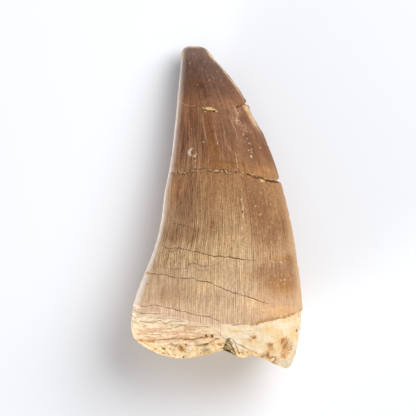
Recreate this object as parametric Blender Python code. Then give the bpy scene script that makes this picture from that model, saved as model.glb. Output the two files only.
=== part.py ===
"""A fossil mosasaur tooth crown that lies on its side.

The tooth is one solid, lofted from closed sections between the broken base and the worn tip. +Y points to
the tip, +X to the cutting edge that bulges, and +Z away from the table. The origin is under the middle of the
tooth, on the table. Lengths are in millimetres until the mesh is made. "Down" is the distance from the tip
along Y. "Across" is the share of the width, from 0 at the hollow edge to 1 at the bulging edge. The face that
lies on the table is the face below, and the other one is the face shown.
"""

import math

import bmesh
import bpy
import numpy as np
from mathutils import Vector, noise

MM = 0.001

# Driving dimensions
CROWN_LENGTH = 56.0
BASE_THICKNESS = 19.8
TIP_RISE = 2.6
ENAMEL_THICKNESS = 0.22
REST_SINK = 0.22

# Section: a full oval, with a keel at each cutting edge
SECTION_POWER = 2.2
KEEL_BULGING = 0.035
KEEL_HOLLOW = 0.015
KEEL_REACH = 0.12
THIN_RADIUS = 1.0

# Mesh fineness
POINTS_AROUND = 72
RING_SPACING = 1.5
TIP_RINGS = (2.6, 1.5, 0.8, 0.35, 0.12)

# Outline seen from above: down from the tip, then the place of the edge in X
HOLLOW_EDGE = [(0.0, -5.1), (0.5, -5.78), (1.2, -6.09), (3.0, -6.2), (8.2, -6.65), (13.0, -7.08),
               (21.4, -8.1), (26.2, -9.05), (29.7, -9.45), (33.0, -10.05), (35.9, -10.95), (42.2, -13.4),
               (45.5, -14.5), (48.5, -15.25), (56.0, -14.3)]
BULGING_EDGE = [(0.0, -2.6), (0.5, -1.85), (1.2, -1.15), (2.6, -0.08), (4.2, 1.38), (6.8, 3.48), (9.7, 5.35),
                (15.1, 8.1), (21.4, 10.52), (29.7, 12.75), (35.9, 13.85), (42.2, 14.7), (46.4, 14.98),
                (50.5, 14.8), (56.0, 13.75)]

# Side view: the thickness as a share of the base's, and the height off the table as a share of the tip's
THICKNESS_SHARE = [(0.0, 0.07), (0.6, 0.15), (2.6, 0.235), (6.1, 0.35), (9.6, 0.44), (13.0, 0.51),
                   (18.2, 0.6), (23.4, 0.68), (28.6, 0.755), (33.9, 0.825), (39.1, 0.91), (44.3, 0.985),
                   (48.0, 1.0), (56.0, 0.93)]
RISE_SHARE = [(0.0, 1.0), (4.0, 0.74), (10.0, 0.4), (16.0, 0.15), (22.0, 0.03), (27.0, 0.0), (33.0, 0.1),
              (39.0, 0.1), (44.0, 0.0), (49.0, 0.0), (56.0, 0.3)]

# Lines that run round the tooth: (across, down) on the face shown, then on the face below
TIP_BREAK = ([(0.0, 9.8), (0.05, 9.9), (0.12, 10.5), (0.3, 10.9), (0.38, 11.4), (0.61, 11.55), (0.72, 11.35),
              (0.85, 10.7), (1.0, 10.1)],
             [(0.0, 9.8), (0.3, 10.6), (0.6, 11.3), (1.0, 10.1)])
MIDDLE_BREAK = ([(0.0, 22.4), (0.16, 21.9), (0.3, 21.6), (0.47, 21.85), (0.68, 22.3), (0.81, 23.1),
                 (0.94, 23.85), (1.0, 23.5)],
                [(0.0, 22.4), (0.35, 21.5), (0.7, 22.2), (1.0, 23.5)])
UPPER_CRACK = ([(0.0, 34.5), (0.04, 34.7), (0.1, 35.3), (0.15, 35.2), (0.31, 35.95), (0.46, 36.65),
                (0.7, 37.3), (0.79, 36.65), (1.0, 36.0)],
               [(0.0, 34.5), (0.5, 35.6), (1.0, 36.0)])
LOWER_CRACK = ([(0.0, 39.4), (0.12, 39.8), (0.3, 40.35), (0.42, 41.1), (0.57, 42.75), (0.73, 44.2),
                (0.86, 45.1), (1.0, 45.0)],
               [(0.0, 39.4), (0.4, 40.6), (1.0, 45.0)])
ENAMEL_END = ([(0.0, 45.2), (0.12, 45.1), (0.19, 45.3), (0.41, 46.95), (0.5, 47.7), (0.54, 48.3),
               (0.73, 48.25), (0.86, 47.4), (1.0, 46.1)],
              [(0.0, 45.2), (0.3, 46.2), (0.7, 47.3), (1.0, 46.1)])
FLAKED_LAYER = ([(0.0, 46.6), (0.06, 48.0), (0.2, 48.5), (0.4, 48.3), (0.51, 49.0), (0.58, 50.2),
                 (0.75, 50.8), (0.9, 51.0), (1.0, 49.4)],
                [(0.0, 46.6), (0.3, 48.2), (0.7, 48.9), (1.0, 49.4)])
BROW = ([(0.0, 47.8), (0.02, 49.6), (0.07, 51.0), (0.16, 51.2), (0.3, 50.8), (0.46, 50.4), (0.55, 51.0),
         (0.62, 52.4), (0.7, 52.9), (0.8, 53.2), (0.9, 54.4), (0.97, 54.5), (1.0, 52.2)],
        [(0.0, 47.8), (0.1, 49.6), (0.35, 50.4), (0.6, 49.9), (0.85, 51.4), (1.0, 52.2)])
RIM = ([(0.0, 48.8), (0.012, 50.7), (0.05, 52.0), (0.1, 52.85), (0.2, 53.98), (0.29, 54.3), (0.39, 53.9),
        (0.49, 53.3), (0.545, 52.85), (0.58, 53.1), (0.67, 54.1), (0.74, 53.7), (0.79, 54.1), (0.87, 55.2),
        (0.96, 56.0), (0.985, 55.65), (1.0, 53.7)],
       [(0.0, 48.8), (0.08, 51.0), (0.25, 52.2), (0.45, 51.6), (0.62, 51.9), (0.8, 53.4), (0.93, 54.4),
        (1.0, 53.7)])

# Glued breaks: a gap all round, wider where filler fell out, with a notch at the bulging edge
BREAK_HALF_WIDTH = 0.28
BREAK_DEPTH = 0.14
BREAK_OPEN_DEPTH = 0.24
BREAK_OPEN_ACROSS = 0.86
BREAK_OPEN_REACH = 0.09
NOTCH_DEPTH = 0.75
NOTCH_REACH = 0.02

# Open cracks on the face shown, each with the shares of the width where it starts and ends
CRACK_HALF_WIDTH = 0.2
CRACK_DEPTH = 0.16
CRACK_START_FADE = 0.08
CRACK_END_FADE = 0.2
LOWER_CRACK_SPAN = (0.0, 0.95)
UPPER_CRACK_SPAN = (0.0, 0.9)

# Ledges where the enamel and the flaked layer under it end
LAYER_THICKNESS = 0.28
LEDGE_LENGTH = 0.5

# Pits and chips: across, down, radius, depth
PITS_SHOWN = [(0.183, 18.5, 0.6, 0.22), (0.585, 51.9, 1.3, 1.1), (0.62, 53.2, 1.4, 1.2),
              (0.84, 52.0, 1.1, 0.35), (0.94, 53.0, 1.5, 0.4), (0.47, 50.3, 0.8, 0.5), (0.32, 51.6, 0.9, 0.5),
              (0.98, 49.4, 0.7, 0.4)]
PITS_BELOW = [(0.7, 15.5, 1.0, 0.3), (0.28, 49.5, 1.6, 0.6), (0.78, 50.5, 1.9, 0.7)]
CHIPPED_EDGE = (10.4, 15.6)
CHIPPED_EDGE_DEPTH = 0.4
CHIPPED_EDGE_REACH = 0.03
CHIPPED_EDGE_FADES = (1.0, 3.0)

# Broken base: a slope from the brow down to the rim, and the hollow end face
SLOPE_DROP = 3.6
SLOPE_DROP_BELOW = 1.6
SLOPE_FULL_ACROSS = 0.5
SLOPE_FADE = 0.2
SLOPE_LEAST_SHARE = 0.25
SLOPE_LEDGES = [(0.25, 0.0), (0.42, 0.9), (0.6, 0.5), (0.8, 0.75)]
SLOPE_LUMP_SIZE = 1.6
RIM_SINK = 0.5
RIM_LUMP_SIZE = 2.2
BROKEN_ROUGHNESS = 0.5
END_FACE_SHARES = (0.12, 0.26, 0.4, 0.54, 0.68, 0.8, 0.91)
END_FACE_HOLLOW = 2.6
END_FACE_LUMPS = 1.5
END_FACE_LUMP_SIZE = 3.2

# How late on the way out to the rim the end face takes on the rim's wavy edge, and its hollow and lumps fade
RIM_LATENESS = 4
HOLLOW_LATENESS = 3
LUMP_LATENESS = 6

# Slow waves all over the enamel, and how far apart in the noise two of its uses lie
WAVE_DEPTH = 0.07
WAVE_SIZE = 5.0
SEED_STEP = (7.3, 3.1, 5.7)

ENAMEL_BROWN = (0.42, 0.26, 0.15, 1.0)
ENAMEL_ROUGHNESS = 0.45
SHARP_EDGE_DEGREES = 38


def smooth_curve(points):
    """A function that runs smoothly through the points and never swings past them."""
    place, value = np.array(points, float).T
    rise = np.diff(value) / np.diff(place)
    before, after = rise[:-1], rise[1:]
    same_way = before * after > 0
    total = np.where(same_way, before + after, 1.0)
    slope = np.concatenate([rise[:1], np.where(same_way, 2 * before * after / total, 0.0), rise[-1:]])

    def evaluate(at):
        at = np.clip(at, place[0], place[-1])
        span = np.clip(np.searchsorted(place, at, side="right") - 1, 0, len(rise) - 1)
        width = place[span + 1] - place[span]
        share = (at - place[span]) / width
        ease = share * share * (3 - 2 * share)
        lead = width * share * (1 - share)
        return (value[span] * (1 - ease) + value[span + 1] * ease
                + lead * ((1 - share) * slope[span] - share * slope[span + 1]))

    return evaluate


def hill(distance):
    """A round hill of height 1 that has faded out at a distance of about 2."""
    return np.exp(-np.square(distance))


def ease_in(value):
    """0 below 0, 1 above 1 and smooth between."""
    value = np.clip(value, 0.0, 1.0)
    return value * value * (3 - 2 * value)


def rough(points, size, seed):
    """Smooth noise between about -1 and 1 at each point, with lumps of about the given size."""
    shift = Vector(SEED_STEP) * seed
    return np.array([noise.noise(Vector(point) / size + shift) for point in points])


class Section:
    """The shape that every section of the tooth shares, as points of a unit oval."""

    def __init__(self, count):
        angle = np.arange(count) * 2 * math.pi / count
        cosine, sine = np.cos(angle), np.sin(angle)
        power = 2 / SECTION_POWER
        keel = np.where(cosine > 0, KEEL_BULGING, KEEL_HOLLOW)
        oval = np.sign(cosine) * np.abs(cosine) ** power
        self.sideways = oval * (1 - keel) + np.sign(cosine) * keel * hill(sine / KEEL_REACH)
        self.upwards = np.sign(sine) * np.abs(sine) ** power
        self.across = (1 + self.sideways) / 2
        self.shown = sine >= 0
        self.facing_up = np.clip(sine, 0.0, 1.0)
        self.facing_down = np.clip(-sine, 0.0, 1.0)

    def line(self, line):
        """How far down a line round the tooth lies, at each point of the section."""
        shown, below = line
        return np.where(self.shown, smooth_curve(shown)(self.across), smooth_curve(below)(self.across))


SECTION = Section(POINTS_AROUND)
hollow_edge = smooth_curve(HOLLOW_EDGE)
bulging_edge = smooth_curve(BULGING_EDGE)
thickness_share = smooth_curve(THICKNESS_SHARE)
rise_share = smooth_curve(RISE_SHARE)


def skin(down, depth=0.0):
    """One ring of points on the tooth's skin, sunk towards the middle by depth, but less where it is thin."""
    half_width = (bulging_edge(down) - hollow_edge(down)) / 2
    half_height = BASE_THICKNESS * thickness_share(down) / 2
    out_x = half_width * SECTION.sideways
    out_z = half_height * SECTION.upwards
    kept = 1 - depth / np.maximum(np.hypot(out_x, out_z), THIN_RADIUS)
    middle_x = hollow_edge(down) + half_width
    middle_z = TIP_RISE * rise_share(down) + half_height
    return np.stack([middle_x + out_x * kept, CROWN_LENGTH / 2 - down, middle_z + out_z * kept], axis=1)


def past(line, down):
    """How far each point of a ring is over a ledge: 0 before it, 1 beyond it and smooth between."""
    return ease_in((down - SECTION.line(line)) / LEDGE_LENGTH + 0.5)


def pits(down, places, facing):
    """How deep the pits of one face sink each point of a ring."""
    width = bulging_edge(down) - hollow_edge(down)
    depth = 0.0 * down
    for across, pit_down, radius, pit_depth in places:
        away = np.hypot((SECTION.across - across) * width, down - pit_down)
        depth = depth + pit_depth * hill(away / radius) * facing
    return depth


def relief(down):
    """How deep each point of a ring sinks for the ledges, the pits and the chipped edge."""
    depth = ENAMEL_THICKNESS * past(ENAMEL_END, down) + LAYER_THICKNESS * past(FLAKED_LAYER, down)
    depth = depth + pits(down, PITS_SHOWN, SECTION.facing_up) + pits(down, PITS_BELOW, SECTION.facing_down)
    start, end = CHIPPED_EDGE
    start_fade, end_fade = CHIPPED_EDGE_FADES
    along = ease_in((down - start) / start_fade) * ease_in((end - down) / end_fade)
    return depth + CHIPPED_EDGE_DEPTH * along * hill((1 - SECTION.across) / CHIPPED_EDGE_REACH)


def break_depth():
    """The depth of a glued break at each point of the section."""
    open_part = hill((SECTION.across - BREAK_OPEN_ACROSS) / BREAK_OPEN_REACH) * SECTION.facing_up
    notch = hill((1 - SECTION.across) / NOTCH_REACH)
    return BREAK_DEPTH + BREAK_OPEN_DEPTH * open_part + NOTCH_DEPTH * notch


def crack_depth(span):
    """The depth of an open crack at each point of the section."""
    start, end = span
    opening = ease_in((SECTION.across - start) / CRACK_START_FADE)
    closing = ease_in((end - SECTION.across) / CRACK_END_FADE)
    return CRACK_DEPTH * opening * closing * SECTION.shown


def groove(line, half_width, depth):
    """Three rings that cut a groove along a line: a lip, the floor and the other lip."""
    down = SECTION.line(line)
    return [(down + half_width, 0.0 * down), (down, depth), (down - half_width, 0.0 * down)]


def ledge(line):
    """Two rings, one on each side of a ledge."""
    down = SECTION.line(line)
    return [(down + LEDGE_LENGTH / 2, 0.0 * down), (down - LEDGE_LENGTH / 2, 0.0 * down)]


def lines_of_the_tooth():
    """The rings that the tooth's own lines need, from the brow to the tip, each with its extra depth."""
    brow = SECTION.line(BROW)
    rings = [(brow, 0.0 * brow)]
    rings += ledge(FLAKED_LAYER)
    rings += ledge(ENAMEL_END)
    rings += groove(LOWER_CRACK, CRACK_HALF_WIDTH, crack_depth(LOWER_CRACK_SPAN))
    rings += groove(UPPER_CRACK, CRACK_HALF_WIDTH, crack_depth(UPPER_CRACK_SPAN))
    rings += groove(MIDDLE_BREAK, BREAK_HALF_WIDTH, break_depth())
    rings += groove(TIP_BREAK, BREAK_HALF_WIDTH, break_depth())
    rings += [(np.full(POINTS_AROUND, down), np.zeros(POINTS_AROUND)) for down in TIP_RINGS]
    return rings


def filled_in(rings):
    """The same rings, with plain ones between them wherever two lie further apart than the ring spacing."""
    filled = [rings[0]]
    for (down, depth), (next_down, next_depth) in zip(rings, rings[1:]):
        steps = max(1, round(float(np.mean(down - next_down)) / RING_SPACING))
        for step in range(1, steps):
            filled.append((down + (next_down - down) * step / steps, 0.0 * depth))
        filled.append((next_down, next_depth))
    return filled


def crown():
    """Every ring of skin from the brow of the base to the tip."""
    rings = []
    for down, extra_depth in filled_in(lines_of_the_tooth()):
        depth = relief(down) + extra_depth
        waves = WAVE_DEPTH * rough(skin(down, depth), WAVE_SIZE, seed=1)
        rings.append(skin(down, depth + waves))
    return rings


def end_face(rim):
    """The rings of the hollow end face, from its middle outwards."""
    middle = rim.mean(axis=0)
    rings = []
    for share in END_FACE_SHARES:
        ring = middle + (rim - middle) * share
        ring[:, 1] = middle[1] + (rim[:, 1] - middle[1]) * share**RIM_LATENESS
        ring[:, 1] += END_FACE_HOLLOW * (1 - share**HOLLOW_LATENESS)
        ring[:, 1] += END_FACE_LUMPS * rough(ring, END_FACE_LUMP_SIZE, seed=3) * (1 - share**LUMP_LATENESS)
        rings.append(ring)
    return rings


def broken_base():
    """The rings of the broken base: the end face, the rim, and the slope up to the brow."""
    fade = ease_in((SECTION.across - SLOPE_FULL_ACROSS) / SLOPE_FADE)
    slope_share = 1 - (1 - SLOPE_LEAST_SHARE) * fade
    rim = skin(SECTION.line(RIM), RIM_SINK)
    rim[:, 2] -= SLOPE_DROP * slope_share * SECTION.facing_up
    rim[:, 2] += SLOPE_DROP_BELOW * SECTION.facing_down
    rings = end_face(rim)
    rim[:, 2] += BROKEN_ROUGHNESS * rough(rim, RIM_LUMP_SIZE, seed=2)
    rings.append(rim)
    brow_down = SECTION.line(BROW)
    brow = skin(brow_down, relief(brow_down))
    for share, lift in SLOPE_LEDGES:
        ring = rim + (brow - rim) * share
        lumps = BROKEN_ROUGHNESS * rough(ring, SLOPE_LUMP_SIZE, seed=4)
        ring[:, 2] += (lift * slope_share + lumps) * SECTION.facing_up
        rings.append(ring)
    return rings


def settled(rings):
    """The rings moved over the origin and let down onto the table, where the lowest places are worn flat."""
    points = np.concatenate(rings)
    middle = (points.min(axis=0) + points.max(axis=0)) / 2
    offset = np.array([middle[0], middle[1], points[:, 2].min() + REST_SINK])
    moved = [ring - offset for ring in rings]
    for ring in moved:
        ring[:, 2] = np.maximum(ring[:, 2], 0.0)
    return moved


def rings_to_mesh(name, rings):
    """A closed mesh that joins neighbouring rings, with a fan of faces over each end."""
    shape = bmesh.new()
    loops = [[shape.verts.new(Vector(point) * MM) for point in ring] for ring in rings]
    for lower, upper in zip(loops, loops[1:]):
        for here in range(len(lower)):
            after = (here + 1) % len(lower)
            shape.faces.new((lower[here], lower[after], upper[after], upper[here]))
    for loop in (loops[0], loops[-1]):
        middle = shape.verts.new(sum((vert.co for vert in loop), Vector()) / len(loop))
        for here in range(len(loop)):
            shape.faces.new((loop[here], loop[(here + 1) % len(loop)], middle))
    bmesh.ops.recalc_face_normals(shape, faces=shape.faces)
    mesh = bpy.data.meshes.new(name)
    shape.to_mesh(mesh)
    shape.free()
    return mesh


def enamel_material():
    """Brown enamel with a soft gloss."""
    material = bpy.data.materials.new("fossil_enamel")
    material.use_nodes = True
    surface = material.node_tree.nodes["Principled BSDF"]
    surface.inputs["Base Color"].default_value = ENAMEL_BROWN
    surface.inputs["Roughness"].default_value = ENAMEL_ROUGHNESS
    surface.inputs["Metallic"].default_value = 0.0
    return material


def clear_scene():
    """Empties the scene, so that the tooth is the only object."""
    for old in list(bpy.data.objects):
        bpy.data.objects.remove(old, do_unlink=True)


def main():
    """Builds the tooth in a collection of its own."""
    clear_scene()
    collection = bpy.data.collections.new("fossil_tooth")
    bpy.context.scene.collection.children.link(collection)
    mesh = rings_to_mesh("tooth", settled(broken_base() + crown()))
    mesh.materials.append(enamel_material())
    mesh.shade_smooth()
    mesh.set_sharp_from_angle(angle=math.radians(SHARP_EDGE_DEGREES))
    collection.objects.link(bpy.data.objects.new("tooth", mesh))


main()
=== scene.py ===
"""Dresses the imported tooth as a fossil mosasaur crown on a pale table.

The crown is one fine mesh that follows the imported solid: striated brown enamel, two glued breaks, open
cracks, bare layered dentine at the base and a rough broken end. Lengths are in millimetres until the mesh is
made. "Down" is the distance from the tip, "across" is the share of the width from the hollow edge to the
bulging edge, and the face shown is the one that looks up.
"""

from __future__ import annotations

import logging
import math
from dataclasses import dataclass, field
from enum import Enum

import bpy
import numpy as np
from bpy.types import Material, Mesh, Node, NodeOutputs, NodeSocket, NodeTree, Object
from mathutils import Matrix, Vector, noise


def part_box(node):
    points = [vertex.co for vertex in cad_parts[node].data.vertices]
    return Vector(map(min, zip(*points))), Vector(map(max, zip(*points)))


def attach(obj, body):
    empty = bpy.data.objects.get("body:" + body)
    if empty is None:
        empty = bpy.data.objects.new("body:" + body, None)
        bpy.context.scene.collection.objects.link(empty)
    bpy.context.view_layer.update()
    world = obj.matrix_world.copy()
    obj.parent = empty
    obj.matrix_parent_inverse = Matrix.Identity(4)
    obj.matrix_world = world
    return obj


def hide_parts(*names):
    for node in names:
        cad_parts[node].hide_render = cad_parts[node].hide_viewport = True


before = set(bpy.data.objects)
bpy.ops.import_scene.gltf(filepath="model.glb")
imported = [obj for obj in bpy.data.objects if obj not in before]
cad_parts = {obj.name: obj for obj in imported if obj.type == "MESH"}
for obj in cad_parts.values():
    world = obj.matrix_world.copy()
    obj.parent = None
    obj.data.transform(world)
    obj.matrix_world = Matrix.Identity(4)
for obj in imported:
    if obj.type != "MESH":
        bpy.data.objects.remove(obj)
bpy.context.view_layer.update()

LOG = logging.getLogger("fossil_tooth")
MM = 0.001
STUDIO_LIGHT = 1.2
GLOSS_VEIL = 0.018
SEED_STEPS = (7.3, 3.1, 5.7)
LUMP_FALL = 0.9
LUMP_GROWTH = 2.1
Points = tuple[tuple[float, float], ...]
Colour = tuple[float, float, float, float]
Scale = tuple[float, float, float]
# A smooth step from 0 at the first place to 1 at the second.
Range = tuple[float, float]
# The same, with its value at the first place and at the second.
Slope = tuple[float, float, float, float]


class Face(Enum):
    """The side of the lying tooth that a mark is on."""

    SHOWN = 1
    BELOW = -1
    BOTH = 0


class Run(Enum):
    """The way a line runs: round the tooth, or from the base to the tip."""

    CROSSWISE = "crosswise"
    LENGTHWISE = "lengthwise"


class Tint(Enum):
    """A kind of stain. The value names the mesh attribute that holds how strong it is."""

    UMBER = "tint_umber"
    GOLD = "tint_gold"
    LIGHT = "tint_light"
    PALE = "tint_pale"
    RUST = "tint_rust"
    SPECKLE = "tint_speckle"
    NET = "tint_net"


class Mark(Enum):
    """What a small spot is."""

    HOLE = "hole"
    CHALK = "chalk"
    GOLDEN = "golden"


class Layer(Enum):
    """What the surface is made of. The value is the material's place on the mesh."""

    ENAMEL = 0
    DENTINE = 1
    BROKEN = 2


def seen(red: float, green: float, blue: float) -> Colour:
    """The linear colour that a surface needs to look like a given screen colour in the studio's light.

    The light brightens a level surface by STUDIO_LIGHT, and its gloss adds GLOSS_VEIL to every channel.

    Args:
        red: from 0 to 255, or a little over for a surface that lies in half shade.
        green: the same for green.
        blue: the same for blue.

    Returns:
        The linear red, green and blue, and an alpha of 1.
    """
    linear = [((c / 255 + 0.055) / 1.055) ** 2.4 for c in (red, green, blue)]
    return (*((c - GLOSS_VEIL) / STUDIO_LIGHT for c in linear), 1.0)


def hill(distance: np.ndarray) -> np.ndarray:
    """A round hill of height 1 that has faded out at a distance of about 2."""
    return np.exp(-np.square(distance))


def ease_in(value: np.ndarray) -> np.ndarray:
    """0 below 0, 1 above 1 and smooth between."""
    value = np.clip(value, 0.0, 1.0)
    return value * value * (3 - 2 * value)


def step_up(value: np.ndarray) -> np.ndarray:
    """A smooth step from 0 to 1, one wide and half way up at 0."""
    return ease_in(value + 0.5)


def lumps(points: np.ndarray, size: float, seed: int, octaves: int = 1) -> np.ndarray:
    """Smooth noise at each point of a grid.

    Args:
        points: places in millimetres, with X, Y and Z along the last axis.
        size: the size of the largest lumps, in millimetres.
        seed: a number that picks one of many patterns.
        octaves: how many layers of ever finer lumps to add.

    Returns:
        Values between about -1 and 1, one for each point.
    """
    shift = Vector([seed * step for step in SEED_STEPS])
    flat = points.reshape(-1, 3) / size
    if octaves == 1:
        values = [noise.noise(Vector(place) + shift) for place in flat]
    else:
        values = [noise.fractal(Vector(place) + shift, LUMP_FALL, LUMP_GROWTH, octaves) for place in flat]
    return np.array(values).reshape(points.shape[:-1])


class SmoothCurve:
    """A curve through given points that never swings past them."""

    def __init__(self, points: Points) -> None:
        """Works out the slope at each point.

        Args:
            points: each place and the value there, in rising order of place.
        """
        self.place, self.value = np.array(points, float).T
        rise = np.diff(self.value) / np.diff(self.place)
        before, after = rise[:-1], rise[1:]
        same_way = before * after > 0
        total = np.where(same_way, before + after, 1.0)
        inner = np.where(same_way, 2 * before * after / total, 0.0)
        self.slope = np.concatenate([rise[:1], inner, rise[-1:]])

    def __call__(self, at: np.ndarray) -> np.ndarray:
        """The curve's value at each place, held level beyond its ends.

        Args:
            at: the places to read the curve at.

        Returns:
            The values there.
        """
        at = np.clip(at, self.place[0], self.place[-1])
        span = np.clip(np.searchsorted(self.place, at, side="right") - 1, 0, len(self.place) - 2)
        width = self.place[span + 1] - self.place[span]
        share = (at - self.place[span]) / width
        ease = share * share * (3 - 2 * share)
        lead = width * share * (1 - share)
        level = self.value[span] * (1 - ease) + self.value[span + 1] * ease
        return level + lead * ((1 - share) * self.slope[span] - share * self.slope[span + 1])


@dataclass(frozen=True)
class Area:
    """A part of the tooth with soft sides, as a smooth step across it and one down it."""

    across: Range
    down: Range


@dataclass(frozen=True)
class Ragged:
    """A stain's edge: the size of its bits, how far they break it up, and how strong the stain is."""

    size: float
    breakup: float
    share: float = 1.0


@dataclass(frozen=True)
class Course:
    """A line right round the tooth: (across, down) on the face shown and on the face below."""

    shown: Points
    below: Points


@dataclass(frozen=True)
class Line:
    """A crack, seam or streak that is thinner than the mesh is fine.

    Attributes:
        name: the line's name, which its mesh attribute takes.
        path: (across, down) where it runs crosswise, or (down, across) where it runs lengthwise.
        half_width: in millimetres.
        strength: how fully its colour covers, from 0 to 1.
        groove: depth in the mesh, in millimetres.
        step: how far the side towards the base stands lower, in millimetres.
        ragged: how far the line wanders, in millimetres.
        beaded: how far it is broken up into beads, from 0 to 1.
        fade_in: the share of its length over which its start dies out.
        fade_out: the same for its end.
    """

    name: str
    path: Points
    half_width: float = 0.07
    strength: float = 0.85
    groove: float = 0.0
    step: float = 0.0
    ragged: float = 0.15
    beaded: float = 0.0
    fade_in: float = 0.08
    fade_out: float = 0.08
    run: Run = Run.CROSSWISE
    face: Face = Face.SHOWN
    below: Points = ()

    @property
    def attribute(self) -> str:
        """The mesh attribute with the distance to the line."""
        return f"line_{self.name}"

    @property
    def ends(self) -> tuple[float, float]:
        """Where the line starts and ends, along the axis that it is a function of."""
        return self.path[0][0], self.path[-1][0]


@dataclass(frozen=True)
class Stain:
    """A soft patch of colour: its middle, and its half size as a share of the width and in millimetres."""

    across: float
    down: float
    half_across: float
    half_down: float
    strength: float = 1.0
    face: Face = Face.SHOWN


@dataclass(frozen=True)
class Spot:
    """A small spot of colour on the face shown, in millimetres apart from its place across.

    Attributes:
        length_share: how long it is along the tooth, as a share of its width.
        bite: how far to the bulging side a circle of its size cuts it down to a crescent.
    """

    across: float
    down: float
    radius: float = 0.13
    length_share: float = 1.0
    strength: float = 1.0
    bite: float = 9.0


@dataclass(frozen=True)
class Pit:
    """A chip or pit: its middle, radius and depth in millimetres, and how round it is along the tooth."""

    across: float
    down: float
    radius: float
    depth: float
    length_share: float = 1.0
    face: Face = Face.SHOWN


@dataclass(frozen=True)
class Wedge:
    """A wedge-shaped recess: its two edges as (down, across), and its depth and walls in millimetres."""

    left: Points
    right: Points
    depth: float
    wall: float = 0.2


TIP_BREAK = Course(
    ((0.0, 9.8), (0.05, 9.9), (0.12, 10.5), (0.3, 10.9), (0.38, 11.4), (0.61, 11.55), (0.72, 11.35),
     (0.85, 10.7), (1.0, 10.1)),
    ((0.0, 9.8), (0.3, 10.6), (0.6, 11.3), (1.0, 10.1)))
MIDDLE_BREAK = Course(
    ((0.0, 22.4), (0.16, 21.9), (0.3, 21.6), (0.47, 21.85), (0.68, 22.3), (0.81, 23.1), (0.94, 23.85),
     (1.0, 23.5)),
    ((0.0, 22.4), (0.35, 21.5), (0.7, 22.2), (1.0, 23.5)))
UPPER_CRACK = Course(
    ((0.0, 34.5), (0.04, 34.66), (0.071, 34.88), (0.1, 35.34), (0.147, 35.21), (0.23, 35.5), (0.31, 35.94),
     (0.39, 36.4), (0.46, 36.66), (0.533, 36.7), (0.587, 37.06), (0.7, 37.28), (0.762, 36.93), (0.79, 36.66),
     (1.0, 36.0)),
    ((0.0, 34.5), (0.2, 35.4), (0.5, 35.6), (0.8, 36.4), (1.0, 36.0)))
LOWER_CRACK = Course(
    ((0.0, 39.4), (0.05, 39.64), (0.116, 39.76), (0.196, 40.2), (0.263, 40.39), (0.304, 40.32),
     (0.356, 40.75), (0.423, 41.08), (0.491, 41.87), (0.574, 42.75), (0.654, 43.41), (0.733, 44.19),
     (0.794, 44.75), (0.863, 45.1), (1.0, 45.0)),
    ((0.0, 39.4), (0.25, 40.2), (0.4, 40.6), (0.7, 42.4), (1.0, 45.0)))
ENAMEL_END = Course(
    ((0.0, 45.3), (0.04, 45.41), (0.124, 45.08), (0.187, 45.3), (0.305, 46.05), (0.413, 46.75), (0.459, 46.9),
     (0.505, 47.5), (0.54, 48.2), (0.65, 48.29), (0.731, 48.22), (0.8, 47.73), (0.858, 47.4), (0.91, 46.95),
     (0.969, 46.4), (1.0, 46.1)),
    ((0.0, 45.3), (0.3, 46.2), (0.45, 46.0), (0.7, 47.3), (1.0, 46.1)))
FLAKED_LAYER = Course(
    ((0.0, 46.6), (0.06, 48.0), (0.2, 48.5), (0.4, 48.3), (0.51, 49.0), (0.58, 50.2), (0.75, 50.8),
     (0.9, 51.0), (1.0, 49.4)),
    ((0.0, 46.6), (0.3, 48.2), (0.7, 48.9), (1.0, 49.4)))
BROW = Course(
    ((0.0, 47.8), (0.02, 49.6), (0.06, 51.2), (0.156, 51.17), (0.241, 50.89), (0.338, 50.7), (0.422, 50.67),
     (0.463, 50.39), (0.53, 50.75), (0.57, 51.3), (0.62, 52.4), (0.7, 52.9), (0.8, 53.2), (0.9, 54.4),
     (0.97, 54.5), (1.0, 52.2)),
    ((0.0, 47.8), (0.1, 49.6), (0.35, 50.4), (0.6, 49.9), (0.85, 51.4), (1.0, 52.2)))
RIM = Course(
    ((0.0, 48.8), (0.012, 50.7), (0.03, 51.3), (0.05, 51.9), (0.1, 52.76), (0.146, 53.44), (0.2, 53.9),
     (0.29, 54.28), (0.39, 53.9), (0.49, 53.3), (0.545, 52.85), (0.58, 53.1), (0.64, 53.83), (0.67, 54.1),
     (0.74, 53.7), (0.79, 54.1), (0.82, 54.45), (0.87, 55.12), (0.905, 55.55), (0.96, 56.0), (0.985, 55.65),
     (1.0, 53.7)),
    ((0.0, 48.8), (0.08, 51.0), (0.25, 52.2), (0.45, 51.6), (0.62, 51.9), (0.8, 53.4), (0.93, 54.4),
     (1.0, 53.7)))

NOTCH = Wedge(((50.6, 0.58), (50.9, 0.569), (52.68, 0.548)), ((50.6, 0.584), (51.73, 0.598), (53.43, 0.634)),
              0.5)

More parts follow.
